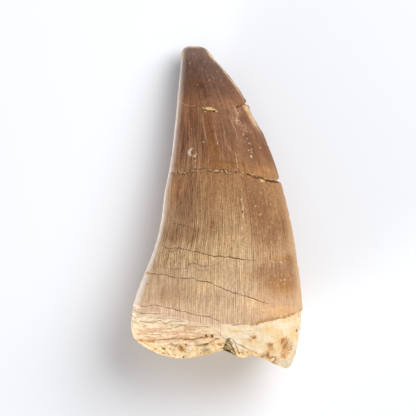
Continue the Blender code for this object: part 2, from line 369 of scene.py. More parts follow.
ENAMEL_CRACKS = (
    Line("upper_crack", UPPER_CRACK.shown[1:-1], 0.065, 0.8, groove=0.1, step=0.04, fade_in=0.03,
         fade_out=0.25, below=UPPER_CRACK.below),
    Line("lower_crack", LOWER_CRACK.shown[:-1], 0.06, 0.68, groove=0.1, step=0.05, fade_in=0.03,
         fade_out=0.2, below=LOWER_CRACK.below),
    Line("tip_break", TIP_BREAK.shown, 0.06, 0.22, groove=0.05, ragged=0.3, beaded=0.7, fade_in=0.3,
         fade_out=0.02, face=Face.BOTH, below=TIP_BREAK.below),
    Line("tip_crack", ((0.15, 10.6), (0.2, 10.75), (0.3, 10.9), (0.37, 11.3), (0.5, 11.5), (0.56, 11.5)),
         0.07, 0.6, ragged=0.35, beaded=0.7, fade_in=0.1, fade_out=0.1),
    Line("tip_gap", ((0.8, 10.9), (0.842, 10.72), (0.89, 10.5), (0.95, 10.3)), 0.09, 0.5, groove=0.12,
         ragged=0.4, beaded=0.9),
    Line("middle_break", MIDDLE_BREAK.shown, 0.14, 0.85, groove=0.08, ragged=0.45, beaded=0.8, fade_in=0.02,
         fade_out=0.02, face=Face.BOTH, below=MIDDLE_BREAK.below),
    Line("second_break", ((0.02, 22.75), (0.16, 22.35), (0.3, 22.1), (0.45, 22.2), (0.68, 22.7)), 0.12, 0.7,
         ragged=0.5, beaded=0.9, fade_in=0.05, fade_out=0.3),
    Line("middle_gap", ((0.7, 22.45), (0.726, 22.63), (0.775, 22.9), (0.83, 23.15), (0.87, 23.4)), 0.09, 0.9,
         groove=0.12, ragged=0.4, beaded=0.85, fade_in=0.15, fade_out=0.2),
    Line("edge_gap", ((0.86, 23.35), (0.891, 23.53), (0.932, 23.79), (1.0, 23.7)), 0.13, 0.95, groove=0.25,
         ragged=0.25, fade_in=0.2),
    Line("break_shadow", ((0.3, 20.5), (0.402, 20.3), (0.571, 20.42), (0.801, 21.53), (0.935, 22.87)), 0.12,
         0.28, ragged=0.3, beaded=0.4, fade_in=0.2, fade_out=0.1),
    Line("branch_crack", ((0.141, 38.76), (0.214, 38.83), (0.259, 38.65), (0.274, 37.99), (0.301, 37.77),
         (0.361, 38.32), (0.412, 38.2), (0.453, 37.99)), 0.055, 0.6, fade_out=0.3),
    Line("branch_shadow", ((0.31, 38.6), (0.36, 38.95), (0.42, 39.05)), 0.05, 0.4, fade_out=0.4),
    Line("side_crack", ((0.05, 37.4), (0.09, 36.3), (0.13, 35.6)), 0.06, 0.45, fade_in=0.3),
    Line("crack_splinter", ((0.1, 35.65), (0.15, 35.85), (0.17, 35.5)), 0.06, 0.5, ragged=0.25),
    Line("flank_crack", ((0.066, 30.91), (0.141, 31.08), (0.202, 31.41), (0.254, 31.95)), 0.05, 0.6),
    Line("hidden_crack", ((0.1, 29.0), (0.35, 30.2), (0.6, 29.6), (0.85, 31.4)), 0.08, 0.8, groove=0.08,
         face=Face.BELOW),
)
ENAMEL_SEAM = Line("enamel_seam", ENAMEL_END.shown[1:9], 0.065, 0.8, ragged=0.15, fade_in=0.02, fade_out=0.06,
                   face=Face.BOTH, below=ENAMEL_END.below)
DENTINE_CRACKS = (
    ENAMEL_SEAM,
    Line("layer_1", ((0.033, 46.0), (0.063, 46.48), (0.161, 46.48), (0.201, 46.47)), 0.055, 0.65,
         groove=0.05, step=0.05, ragged=0.08, fade_out=0.3),
    Line("layer_2", ((0.045, 47.56), (0.086, 47.94), (0.137, 47.99), (0.174, 47.63), (0.209, 48.2),
         (0.245, 47.68), (0.299, 47.73), (0.328, 47.79)), 0.06, 0.7, groove=0.08, step=0.06, ragged=0.06),
    Line("layer_3", ((0.144, 47.4), (0.181, 47.1), (0.208, 47.3), (0.254, 47.3), (0.29, 47.5), (0.35, 48.15),
         (0.39, 48.2)), 0.05, 0.5, ragged=0.1, fade_out=0.3),
    Line("layer_4", ((0.25, 48.38), (0.337, 48.27), (0.39, 48.22), (0.44, 48.2)), 0.045, 0.4, ragged=0.08),
    Line("layer_5", ((0.213, 48.9), (0.255, 48.86), (0.302, 48.43), (0.376, 48.6), (0.501, 48.65)), 0.06,
         0.65, groove=0.08, step=0.1, ragged=0.1),
    Line("layer_6", ((0.025, 48.85), (0.032, 48.93), (0.052, 49.37), (0.086, 49.9), (0.114, 50.06),
         (0.215, 49.96)), 0.055, 0.55, groove=0.06, step=0.06, ragged=0.08, fade_out=0.3),
    Line("seam_shadow", ((0.59, 48.5), (0.617, 48.38), (0.649, 48.27), (0.7, 48.2)), 0.06, 0.75, ragged=0.1),
    Line("right_layer", ((0.6, 49.6), (0.68, 49.3), (0.8, 49.4)), 0.05, 0.2, fade_in=0.3, fade_out=0.3),
    Line("shoulder_joint", ((49.5, 0.531), (50.2, 0.533)), 0.05, 0.7, groove=0.06, run=Run.LENGTHWISE),
    Line("hidden_layer_1", ((0.05, 47.6), (0.3, 48.9), (0.55, 48.4), (0.8, 49.6)), 0.07, 0.7, groove=0.1,
         step=0.1, face=Face.BELOW),
    Line("hidden_layer_2", ((0.2, 49.7), (0.45, 49.3), (0.7, 50.3)), 0.06, 0.6, groove=0.06, face=Face.BELOW),
)
SLOPE_CRACKS = (
    Line("brow_gap", ((0.091, 51.26), (0.156, 51.0), (0.21, 50.77), (0.327, 50.75), (0.391, 50.68),
         (0.424, 50.6), (0.47, 50.4)), 0.085, 0.8, groove=0.09, ragged=0.25, beaded=0.4, fade_in=0.2),
    Line("ledge_gap", ((0.14, 52.4), (0.179, 51.99), (0.223, 51.66), (0.315, 51.74), (0.368, 51.9),
         (0.423, 51.81), (0.465, 51.35), (0.53, 50.65)), 0.075, 0.65, groove=0.03, ragged=0.3, beaded=0.5,
         fade_in=0.2),
    Line("rim_crack", ((0.1, 52.3), (0.149, 52.96), (0.19, 53.55)), 0.08, 0.6, ragged=0.35, beaded=0.7),
    Line("notch_left", NOTCH.left, 0.08, 0.75, run=Run.LENGTHWISE, ragged=0.15, beaded=0.4, fade_in=0.02),
    Line("notch_inner", NOTCH.right, 0.07, 0.75, run=Run.LENGTHWISE, ragged=0.15, beaded=0.3, fade_in=0.2),
    Line("notch_right", ((50.9, 0.595), (51.08, 0.605), (52.14, 0.624), (53.53, 0.653)), 0.07, 0.8,
         run=Run.LENGTHWISE, ragged=0.12, fade_in=0.1),
    Line("notch_brow", ((0.56, 50.95), (0.575, 50.72), (0.59, 50.72), (0.607, 51.0)), 0.07, 0.7, ragged=0.1),
    Line("slant_crack", ((0.6, 51.0), (0.623, 51.5), (0.667, 52.09), (0.697, 52.53), (0.742, 53.13)), 0.055,
         0.75, groove=0.06, ragged=0.08, fade_out=0.3),
    Line("zigzag_1", ((0.788, 53.95), (0.807, 53.64), (0.823, 53.95), (0.842, 54.05), (0.866, 53.95)), 0.08,
         0.8, ragged=0.25, beaded=0.5),
    Line("zigzag_2", ((53.85, 0.864), (54.3, 0.868), (54.7, 0.87), (55.0, 0.862)), 0.08, 0.75, ragged=0.25,
         beaded=0.4, run=Run.LENGTHWISE),
    Line("zigzag_3", ((0.855, 54.85), (0.875, 55.05), (0.9, 55.3)), 0.08, 0.7, ragged=0.2, beaded=0.4),
    Line("knob_edge", ((51.3, 0.86), (51.5, 0.845), (51.9, 0.836)), 0.05, 0.5, run=Run.LENGTHWISE,
         ragged=0.05),
)
RUST_LINES = (
    Line("rust_seam", ((0.69, 48.1), (0.715, 48.2), (0.76, 47.85), (0.794, 47.65), (0.828, 47.4),
         (0.88, 47.08), (0.915, 46.82), (0.946, 46.5), (0.97, 46.3)), 0.24, 0.95, ragged=0.3, beaded=0.35,
         fade_in=0.1),
    Line("rust_streak", ((51.3, 0.832), (51.6, 0.826), (52.6, 0.822), (53.4, 0.808)), 0.27, 0.85,
         run=Run.LENGTHWISE, ragged=0.35, beaded=0.4, fade_in=0.2, fade_out=0.3),
    Line("rust_edge", ((46.0, 0.985), (47.4, 0.98)), 0.2, 0.6, run=Run.LENGTHWISE, ragged=0.3, beaded=0.5),
    Line("rust_brow", ((0.24, 50.78), (0.33, 50.72), (0.4, 50.68), (0.45, 50.45), (0.49, 50.3)), 0.2, 0.8,
         ragged=0.3, beaded=0.35, fade_in=0.4),
    Line("rust_ledge", ((0.39, 51.9), (0.43, 51.75), (0.465, 51.35), (0.53, 50.75)), 0.2, 0.75, ragged=0.3,
         beaded=0.35, fade_in=0.3),
)
PALE_STREAKS = (
    Line("streak_1", ((11.8, 0.333), (14.24, 0.343), (16.67, 0.356)), 0.07, 0.4, run=Run.LENGTHWISE,
         ragged=0.1),
    Line("streak_2", ((12.7, 0.469), (14.9, 0.462), (15.9, 0.462), (17.3, 0.472)), 0.06, 0.6,
         run=Run.LENGTHWISE, ragged=0.1, fade_in=0.8),
    Line("streak_3", ((14.6, 0.575), (15.8, 0.559), (18.8, 0.54)), 0.06, 0.28, run=Run.LENGTHWISE,
         ragged=0.15),
    Line("streak_4", ((17.3, 0.583), (18.0, 0.586), (18.7, 0.588)), 0.08, 0.5, run=Run.LENGTHWISE,
         ragged=0.1, fade_in=0.3, fade_out=0.3),
    Line("ridge_top", ((11.7, 0.664), (13.37, 0.675), (15.11, 0.69), (15.97, 0.689), (17.5, 0.675)), 0.075,
         0.5, run=Run.LENGTHWISE, ragged=0.15, beaded=0.3, fade_in=0.3, fade_out=0.3),
    Line("ridge_middle", ((18.3, 0.63), (18.84, 0.632), (20.42, 0.634), (21.6, 0.643)), 0.12, 0.8,
         run=Run.LENGTHWISE, ragged=0.15, beaded=0.35, fade_in=0.3),
    Line("ridge_low", ((22.87, 0.642), (26.18, 0.648), (30.56, 0.625), (32.6, 0.619)), 0.1, 0.75,
         run=Run.LENGTHWISE, ragged=0.25, beaded=0.8, fade_in=0.2, fade_out=0.2),
    Line("hairline", ((0.02, 9.82), (0.05, 9.9), (0.12, 10.4), (0.2, 10.65), (0.27, 10.7)), 0.055, 0.6,
         ragged=0.12, fade_out=0.3),
    Line("glue_beads", ((0.02, 22.35), (0.162, 22.05), (0.256, 21.9), (0.35, 21.8), (0.48, 21.95),
         (0.6, 22.05), (0.7, 22.45)), 0.15, 0.65, ragged=0.5, beaded=1.0),
    Line("glue_edge", ((0.84, 23.1), (0.89, 23.28), (0.95, 23.45), (0.99, 23.5)), 0.12, 0.45, ragged=0.2,
         fade_in=0.3),
)
LINES = ENAMEL_CRACKS + DENTINE_CRACKS + SLOPE_CRACKS + RUST_LINES + PALE_STREAKS

STAINS = {
    Tint.UMBER: (
        Stain(0.18, 28.0, 0.13, 6.5, 0.8), Stain(0.2, 32.7, 0.19, 1.9, 0.9),
        Stain(0.4, 31.4, 0.09, 2.4, 0.6), Stain(0.38, 27.0, 0.05, 4.0, 0.4),
        Stain(0.08, 14.0, 0.14, 4.0, 0.4), Stain(0.74, 8.4, 0.12, 1.5, 0.6),
        Stain(0.85, 12.9, 0.1, 1.6, 0.7), Stain(0.95, 18.8, 0.07, 2.6, 0.85),
        Stain(0.385, 7.1, 0.05, 0.7, 0.75), Stain(0.42, 8.3, 0.05, 1.3, 0.6),
        Stain(0.35, 44.0, 0.1, 1.5, 0.35), Stain(0.82, 33.8, 0.07, 2.2, 0.75),
        Stain(0.94, 37.8, 0.08, 1.8, 0.8), Stain(0.76, 28.5, 0.12, 7.0, 0.8),
        Stain(0.86, 32.0, 0.12, 3.4, 0.7), Stain(0.82, 18.0, 0.1, 3.6, 0.75),
        Stain(0.87, 40.2, 0.15, 2.9, 1.0), Stain(0.765, 39.5, 0.08, 1.9, 0.9),
        Stain(0.22, 43.2, 0.18, 2.2, 0.5), Stain(0.47, 43.4, 0.08, 2.0, 0.35),
        Stain(0.85, 4.5, 0.2, 4.0, 0.2), Stain(0.35, 26.0, 0.22, 4.0, 0.6, Face.BELOW),
        Stain(0.7, 36.5, 0.18, 2.2, 0.8, Face.BELOW), Stain(0.2, 41.0, 0.14, 1.6, 0.6, Face.BELOW),
    ),
    Tint.GOLD: (
        Stain(0.39, 13.5, 0.045, 2.0, 0.9), Stain(0.42, 17.2, 0.06, 2.4, 1.0),
        Stain(0.55, 20.8, 0.25, 0.9, 0.6), Stain(0.89, 37.0, 0.12, 0.6, 0.7),
        Stain(0.88, 41.8, 0.14, 2.4, 0.6), Stain(0.87, 46.0, 0.12, 1.0, 0.4),
        Stain(0.619, 49.4, 0.035, 0.3, 1.0), Stain(0.802, 49.1, 0.05, 1.0, 0.8),
        Stain(0.96, 49.6, 0.05, 1.6, 0.7), Stain(0.72, 53.0, 0.04, 0.4, 0.8),
        Stain(0.671, 51.4, 0.016, 0.4, 0.8), Stain(0.68, 40.0, 0.1, 1.8, 0.4),
        Stain(0.5, 16.0, 0.1, 4.0, 0.7, Face.BELOW),
    ),
    Tint.LIGHT: (
        Stain(0.22, 1.8, 0.12, 1.2, 0.8), Stain(0.95, 7.0, 0.06, 2.2, 1.0), Stain(0.1, 25.5, 0.1, 3.5, 0.8),
        Stain(0.54, 27.0, 0.08, 5.0, 0.3), Stain(0.85, 46.0, 0.16, 1.3, 0.8),
        Stain(0.68, 44.6, 0.1, 1.8, 0.6), Stain(0.42, 41.5, 0.12, 1.8, 0.6),
        Stain(0.8, 22.0, 0.2, 0.9, 0.9), Stain(0.7, 10.6, 0.2, 0.8, 0.5), Stain(0.55, 34.5, 0.22, 3.0, 0.5),
        Stain(0.4, 36.8, 0.2, 1.2, 0.6), Stain(0.12, 37.0, 0.07, 1.5, 0.4),
    ),
    Tint.PALE: (
        Stain(0.024, 39.55, 0.035, 0.45, 0.9), Stain(1.0, 12.6, 0.085, 2.4, 1.0),
        Stain(0.96, 11.2, 0.06, 0.9, 0.9), Stain(0.995, 5.4, 0.05, 4.6, 0.85),
        Stain(1.0, 1.7, 0.09, 1.4, 1.0), Stain(0.0, 1.2, 0.1, 1.0, 0.9), Stain(0.99, 45.5, 0.04, 3.2, 0.7),
        Stain(0.5, 0.0, 0.6, 0.34, 1.0), Stain(0.62, 46.9, 0.12, 0.9, 0.45),
    ),
    Tint.RUST: (
        Stain(0.06, 51.2, 0.06, 0.35, 0.8), Stain(0.727, 50.52, 0.014, 0.28, 1.0),
        Stain(0.702, 51.0, 0.014, 0.25, 0.9), Stain(0.9, 51.4, 0.03, 0.8, 1.0),
        Stain(0.915, 52.6, 0.026, 1.2, 1.0), Stain(0.92, 53.7, 0.028, 0.8, 1.0),
        Stain(0.718, 48.25, 0.022, 0.26, 0.9), Stain(0.27, 49.5, 0.035, 0.4, 0.4),
        Stain(0.345, 49.2, 0.05, 0.6, 0.42), Stain(0.295, 52.5, 0.03, 0.7, 0.9),
        Stain(0.11, 51.1, 0.03, 0.3, 0.9), Stain(0.36, 51.2, 0.04, 0.3, 0.6),
        Stain(0.44, 53.2, 0.08, 0.3, 0.4), Stain(0.812, 53.3, 0.022, 0.45, 0.9),
        Stain(0.79, 53.9, 0.02, 0.3, 0.8), Stain(0.835, 53.95, 0.02, 0.3, 0.8),
        Stain(0.868, 54.5, 0.014, 0.4, 0.8), Stain(0.945, 52.6, 0.02, 1.2, 0.6),
        Stain(0.3, 49.5, 0.16, 0.8, 0.6, Face.BELOW), Stain(0.72, 50.2, 0.1, 1.0, 0.6, Face.BELOW),
    ),
    Tint.SPECKLE: (
        Stain(0.79, 14.4, 0.09, 2.2, 0.7), Stain(0.8, 17.4, 0.07, 2.4, 0.5),
        Stain(0.45, 4.2, 0.4, 3.0, 0.45), Stain(0.64, 27.0, 0.03, 5.5, 0.5),
        Stain(0.8, 29.0, 0.12, 5.0, 0.55), Stain(0.83, 33.0, 0.09, 2.2, 0.9),
        Stain(0.83, 37.5, 0.12, 1.2, 0.6), Stain(0.87, 40.5, 0.1, 2.0, 0.6),
        Stain(0.88, 45.0, 0.12, 2.0, 0.6), Stain(0.5, 35.0, 0.3, 5.0, 0.5, Face.BELOW),
    ),
    Tint.NET: (
        Stain(0.785, 11.5, 0.04, 0.9, 1.0), Stain(0.75, 13.0, 0.04, 0.9, 1.0),
        Stain(0.81, 14.3, 0.04, 0.7, 0.7), Stain(0.1, 22.3, 0.1, 0.5, 0.5),
    ),
}

ENAMEL_SPOTS = {
    Mark.HOLE: (
        Spot(0.385, 7.1, 0.42, 1.5, 0.16), Spot(0.45, 8.3, 0.3, 2.4, 0.18),
        Spot(0.262, 18.7, 0.12, 1.4, 0.4), Spot(0.225, 19.9, 0.14, 1.0, 0.6),
        Spot(0.255, 20.6, 0.12, 1.0, 0.5), Spot(0.39, 11.42, 0.12, 0.9, 0.9), Spot(0.493, 11.56, 0.17),
        Spot(0.425, 15.1, 0.22, 1.3, 0.4), Spot(0.842, 10.68, 0.16, 0.8), Spot(0.89, 10.51, 0.13, 0.8),
        Spot(0.72, 22.57, 0.13, 0.7), Spot(0.632, 29.0, 0.13), Spot(0.044, 41.43, 0.13, strength=0.8),
        Spot(0.15, 27.4, 0.12, 1.8, 0.7), Spot(0.3, 28.8, 0.1, 1.8, 0.6), Spot(0.95, 40.0, 0.12, 1.0, 0.5),
    ),
    Mark.CHALK: (
        # The first spot is the crescent on the rim of the chip by the hollow edge: partly the chip's pale
        # enamel, partly a painted highlight on its rim.
        Spot(0.198, 18.65, 0.6, 1.0, 1.0, 0.26), Spot(0.235, 19.33, 0.15, 1.2, 0.9),
        Spot(0.247, 18.95, 0.1, 1.0, 0.6), Spot(0.242, 20.21, 0.12, 1.0, 0.8),
        Spot(0.241, 21.2, 0.1, 1.2, 0.6), Spot(0.324, 16.88, 0.11, 1.2, 0.7),
        Spot(0.47, 17.2, 0.08, 2.2, 0.7), Spot(0.484, 21.93, 0.16, 0.8, 0.8),
        Spot(0.528, 21.97, 0.16, 0.8, 0.85), Spot(0.383, 11.62, 0.12, 0.8, 0.7),
        Spot(0.52, 11.6, 0.15, 0.8, 0.8), Spot(0.635, 26.9, 0.11, 1.5, 0.6),
        Spot(0.63, 29.7, 0.1, 1.2, 0.6), Spot(0.62, 31.8, 0.12, 1.0, 0.7),
        Spot(0.799, 17.1, 0.1, 1.2, 0.55), Spot(0.798, 16.32, 0.09, 1.2, 0.5),
        Spot(0.781, 18.34, 0.1, 1.5, 0.55), Spot(0.786, 19.38, 0.12, 2.0, 0.8),
        Spot(0.82, 15.0, 0.1, 1.0, 0.5), Spot(0.905, 17.9, 0.12, 1.5, 0.4),
        Spot(0.94, 13.9, 0.12, 1.5, 0.45), Spot(0.74, 28.0, 0.11, 1.2, 0.6),
        Spot(0.9, 40.7, 0.14, 1.0, 0.6), Spot(0.33, 6.9, 0.1, 1.0, 0.35), Spot(0.2, 14.62, 0.12, 0.8, 0.3),
    ),
    Mark.GOLDEN: (
        Spot(0.435, 11.1, 0.7, 0.4), Spot(0.48, 11.25, 0.42, 0.5), Spot(0.365, 10.96, 0.4, 0.22, 0.7),
        Spot(0.535, 11.45, 0.28, 0.5, 0.5), Spot(0.93, 10.62, 0.3, 0.45, 0.6),
        Spot(0.43, 21.85, 0.35, 0.5, 0.7), Spot(0.674, 22.33, 0.4, 0.6, 0.7),
        Spot(0.84, 23.6, 0.45, 0.5, 0.8), Spot(0.765, 22.55, 0.3, 0.4, 0.5),
    ),
}
DENTINE_SPOTS = {
    Mark.HOLE: (
        Spot(0.442, 50.22, 0.2), Spot(0.479, 50.3, 0.22, 0.9), Spot(0.247, 48.42, 0.16, 0.8, 0.6),
        Spot(0.972, 49.49, 0.18, 1.4, 0.75), Spot(0.724, 49.7, 0.14, 1.0, 0.3),
        Spot(0.707, 50.44, 0.13, 1.0, 0.6), Spot(0.73, 50.6, 0.1, 1.0, 0.5),
        Spot(0.799, 51.6, 0.14, 1.0, 0.45),
    ),
}
SLOPE_SPOTS = {
    Mark.HOLE: (
        Spot(0.32, 51.7, 0.18, 0.9), Spot(0.302, 54.0, 0.16), Spot(0.41, 53.3, 0.12, strength=0.7),
        Spot(0.18, 53.3, 0.16, 0.8, 0.8), Spot(0.82, 53.5, 0.22, 1.0, 0.8),
        Spot(0.136, 52.6, 0.2, 0.7, 0.8), Spot(0.21, 53.5, 0.16, 0.8, 0.7),
    ),
    Mark.CHALK: (
        Spot(0.338, 52.35, 0.55, 0.8, 0.8), Spot(0.582, 51.3, 0.22, 1.0, 0.8),
    ),
}

PITS = (
    Pit(0.193, 18.5, 0.5, 0.22, 1.2), Pit(0.839, 52.44, 0.5, -0.35, 1.5), Pit(0.818, 52.2, 0.4, 0.35, 1.9),
    Pit(0.93, 52.8, 0.9, 0.3, 1.6), Pit(0.442, 50.2, 0.28, 0.4), Pit(0.48, 50.3, 0.3, 0.45),
    Pit(0.32, 51.6, 0.35, 0.6, 1.5), Pit(0.995, 49.4, 0.5, 0.4), Pit(0.72, 50.6, 0.45, 0.18),
    Pit(0.82, 54.0, 0.5, 0.5), Pit(0.7, 15.5, 0.9, 0.3, 1.2, Face.BELOW),
    Pit(0.28, 49.5, 1.3, 0.6, 1.0, Face.BELOW), Pit(0.78, 50.5, 1.6, 0.7, 1.0, Face.BELOW),
)


@dataclass
class Section:
    """The oval that every section shares, with a keel at each cutting edge, and the mesh's columns round it.

    Attributes:
        power: how square the oval is, 2 being an ellipse.
        keel_bulging: how far the bulging edge's keel stands out, as a share of the half width.
        keel_hollow: the same for the hollow edge.
        keel_reach: how far a keel runs up the sides, as a share of the half height.
        flatness: the height's share of the width, which spaces the lines evenly.
        facing_gain: how soon a mark on one face takes its full strength, away from the edges.
    """

    columns_shown: int = 214
    columns_below: int = 148
    power: float = 2.2
    keel_bulging: float = 0.035
    keel_hollow: float = 0.015
    keel_reach: float = 0.12
    flatness: float = 0.68
    facing_gain: float = 5.0
    arc_samples: int = 4000

    def __post_init__(self) -> None:
        """Works out the columns' places on the unit oval."""
        upper = np.linspace(0, math.pi, self.columns_shown, endpoint=False)
        lower = np.linspace(math.pi, 2 * math.pi, self.columns_below, endpoint=False)
        angle = np.concatenate([upper, lower])
        self.sideways, self.upwards = self.oval(angle)
        self.across = (1 + self.sideways) / 2
        self.rise = np.sin(angle)
        self.shown = self.rise >= 0
        fine = np.linspace(0, 2 * math.pi, self.arc_samples)
        x, z = self.oval(fine)
        length = np.concatenate([[0.0], np.cumsum(np.hypot(np.diff(x), self.flatness * np.diff(z)))])
        self.turn = 2 * math.pi * np.interp(angle, fine, length) / length[-1]

    @property
    def columns(self) -> int:
        """How many columns of points go round the tooth."""
        return self.columns_shown + self.columns_below

    def oval(self, angle: np.ndarray) -> tuple[np.ndarray, np.ndarray]:
        """The unit oval's sideways and upwards places at each angle.

        Args:
            angle: angles round the tooth.

        Returns:
            Both places of each angle, from -1 to 1.
        """
        cosine, sine = np.cos(angle), np.sin(angle)
        keel = np.where(cosine > 0, self.keel_bulging, self.keel_hollow)
        side = np.sign(cosine) * np.abs(cosine) ** (2 / self.power)
        sideways = side * (1 - keel) + np.sign(cosine) * keel * hill(sine / self.keel_reach)
        return sideways, np.sign(sine) * np.abs(sine) ** (2 / self.power)

    def along(self, shown: Points, below: Points) -> np.ndarray:
        """The value of a line at each column, from its points on the two faces."""
        return np.where(self.shown, SmoothCurve(shown)(self.across), SmoothCurve(below or shown)(self.across))

    def facing(self, face: Face) -> np.ndarray | float:
        """How far each column faces the way that a mark needs, from 0 to 1."""
        return 1.0 if face is Face.BOTH else ease_in(self.rise * face.value * self.facing_gain)


@dataclass
class CrownForm:
    """The smooth form of the crown, before any damage, in millimetres."""

    length: float = 56.0
    base_thickness: float = 19.8
    tip_rise: float = 2.6
    thin_radius: float = 1.0
    hollow_edge: Points = ((0.0, -4.75), (0.16, -5.3), (0.5, -5.76), (1.2, -6.09), (3.0, -6.2), (8.2, -6.65),
                           (13.0, -7.08), (21.4, -8.1), (26.2, -9.05), (29.7, -9.45), (33.0, -10.05),
                           (35.9, -10.95), (42.2, -13.4), (45.5, -14.5), (48.5, -15.25), (56.0, -14.3))
    bulging_edge: Points = ((0.0, -3.0), (0.16, -2.4), (0.5, -1.82), (1.2, -1.15), (2.6, -0.08), (4.2, 1.38),
                            (6.8, 3.48), (9.7, 5.35), (15.1, 8.1), (21.4, 10.52), (29.7, 12.75),
                            (35.9, 13.85), (42.2, 14.7), (46.4, 14.98), (50.5, 14.8), (56.0, 13.75))
    thickness_share: Points = ((0.0, 0.07), (0.6, 0.15), (2.6, 0.235), (6.1, 0.35), (9.6, 0.44), (13.0, 0.51),
                               (18.2, 0.6), (23.4, 0.68), (28.6, 0.755), (33.9, 0.825), (39.1, 0.91),
                               (44.3, 0.985), (48.0, 1.0), (56.0, 0.93))
    rise_share: Points = ((0.0, 1.0), (4.0, 0.74), (10.0, 0.4), (16.0, 0.15), (22.0, 0.03), (27.0, 0.0),
                          (33.0, 0.1), (39.0, 0.1), (44.0, 0.0), (49.0, 0.0), (56.0, 0.3))
    section: Section = field(default_factory=Section)

    def __post_init__(self) -> None:
        """Makes the curves of the outline and the side view."""
        self._left = SmoothCurve(self.hollow_edge)
        self._right = SmoothCurve(self.bulging_edge)
        self._thickness = SmoothCurve(self.thickness_share)
        self._rise = SmoothCurve(self.rise_share)

    def width(self, down: np.ndarray) -> np.ndarray:
        """The crown's width at each distance from the tip."""
        return self._right(down) - self._left(down)

    def skin(self, down: np.ndarray, depth: np.ndarray | float = 0.0) -> np.ndarray:
        """Points on the skin.

        Args:
            down: the distance from the tip, with the section's columns along the last axis.
            depth: how far each point sinks towards the middle.

        Returns:
            X, Y and Z of each point along a new last axis.
        """
        half_width = self.width(down) / 2
        half_height = self.base_thickness * self._thickness(down) / 2
        out_x = half_width * self.section.sideways
        out_z = half_height * self.section.upwards
        kept = 1 - depth / np.maximum(np.hypot(out_x, out_z), self.thin_radius)
        x = self._left(down) + half_width + out_x * kept
        z = self.tip_rise * self._rise(down) + half_height + out_z * kept
        return np.stack([x, self.length / 2 - down, z], axis=-1)


class Places:
    """A grid of places on the crown: how far down each is, its smooth skin, and how cracks wander there."""

    WANDER_SIZE = 0.8

    def __init__(self, form: CrownForm, down: np.ndarray) -> None:
        """Works out the smooth skin and the cracks' wander at each place.

        Args:
            form: the smooth crown.
            down: the distance from the tip, with the section's columns along the last axis.
        """
        self.down = down
        self.skin = form.skin(down)
        self.width = form.width(down)
        self.wander = lumps(self.skin, self.WANDER_SIZE, seed=13, octaves=2)


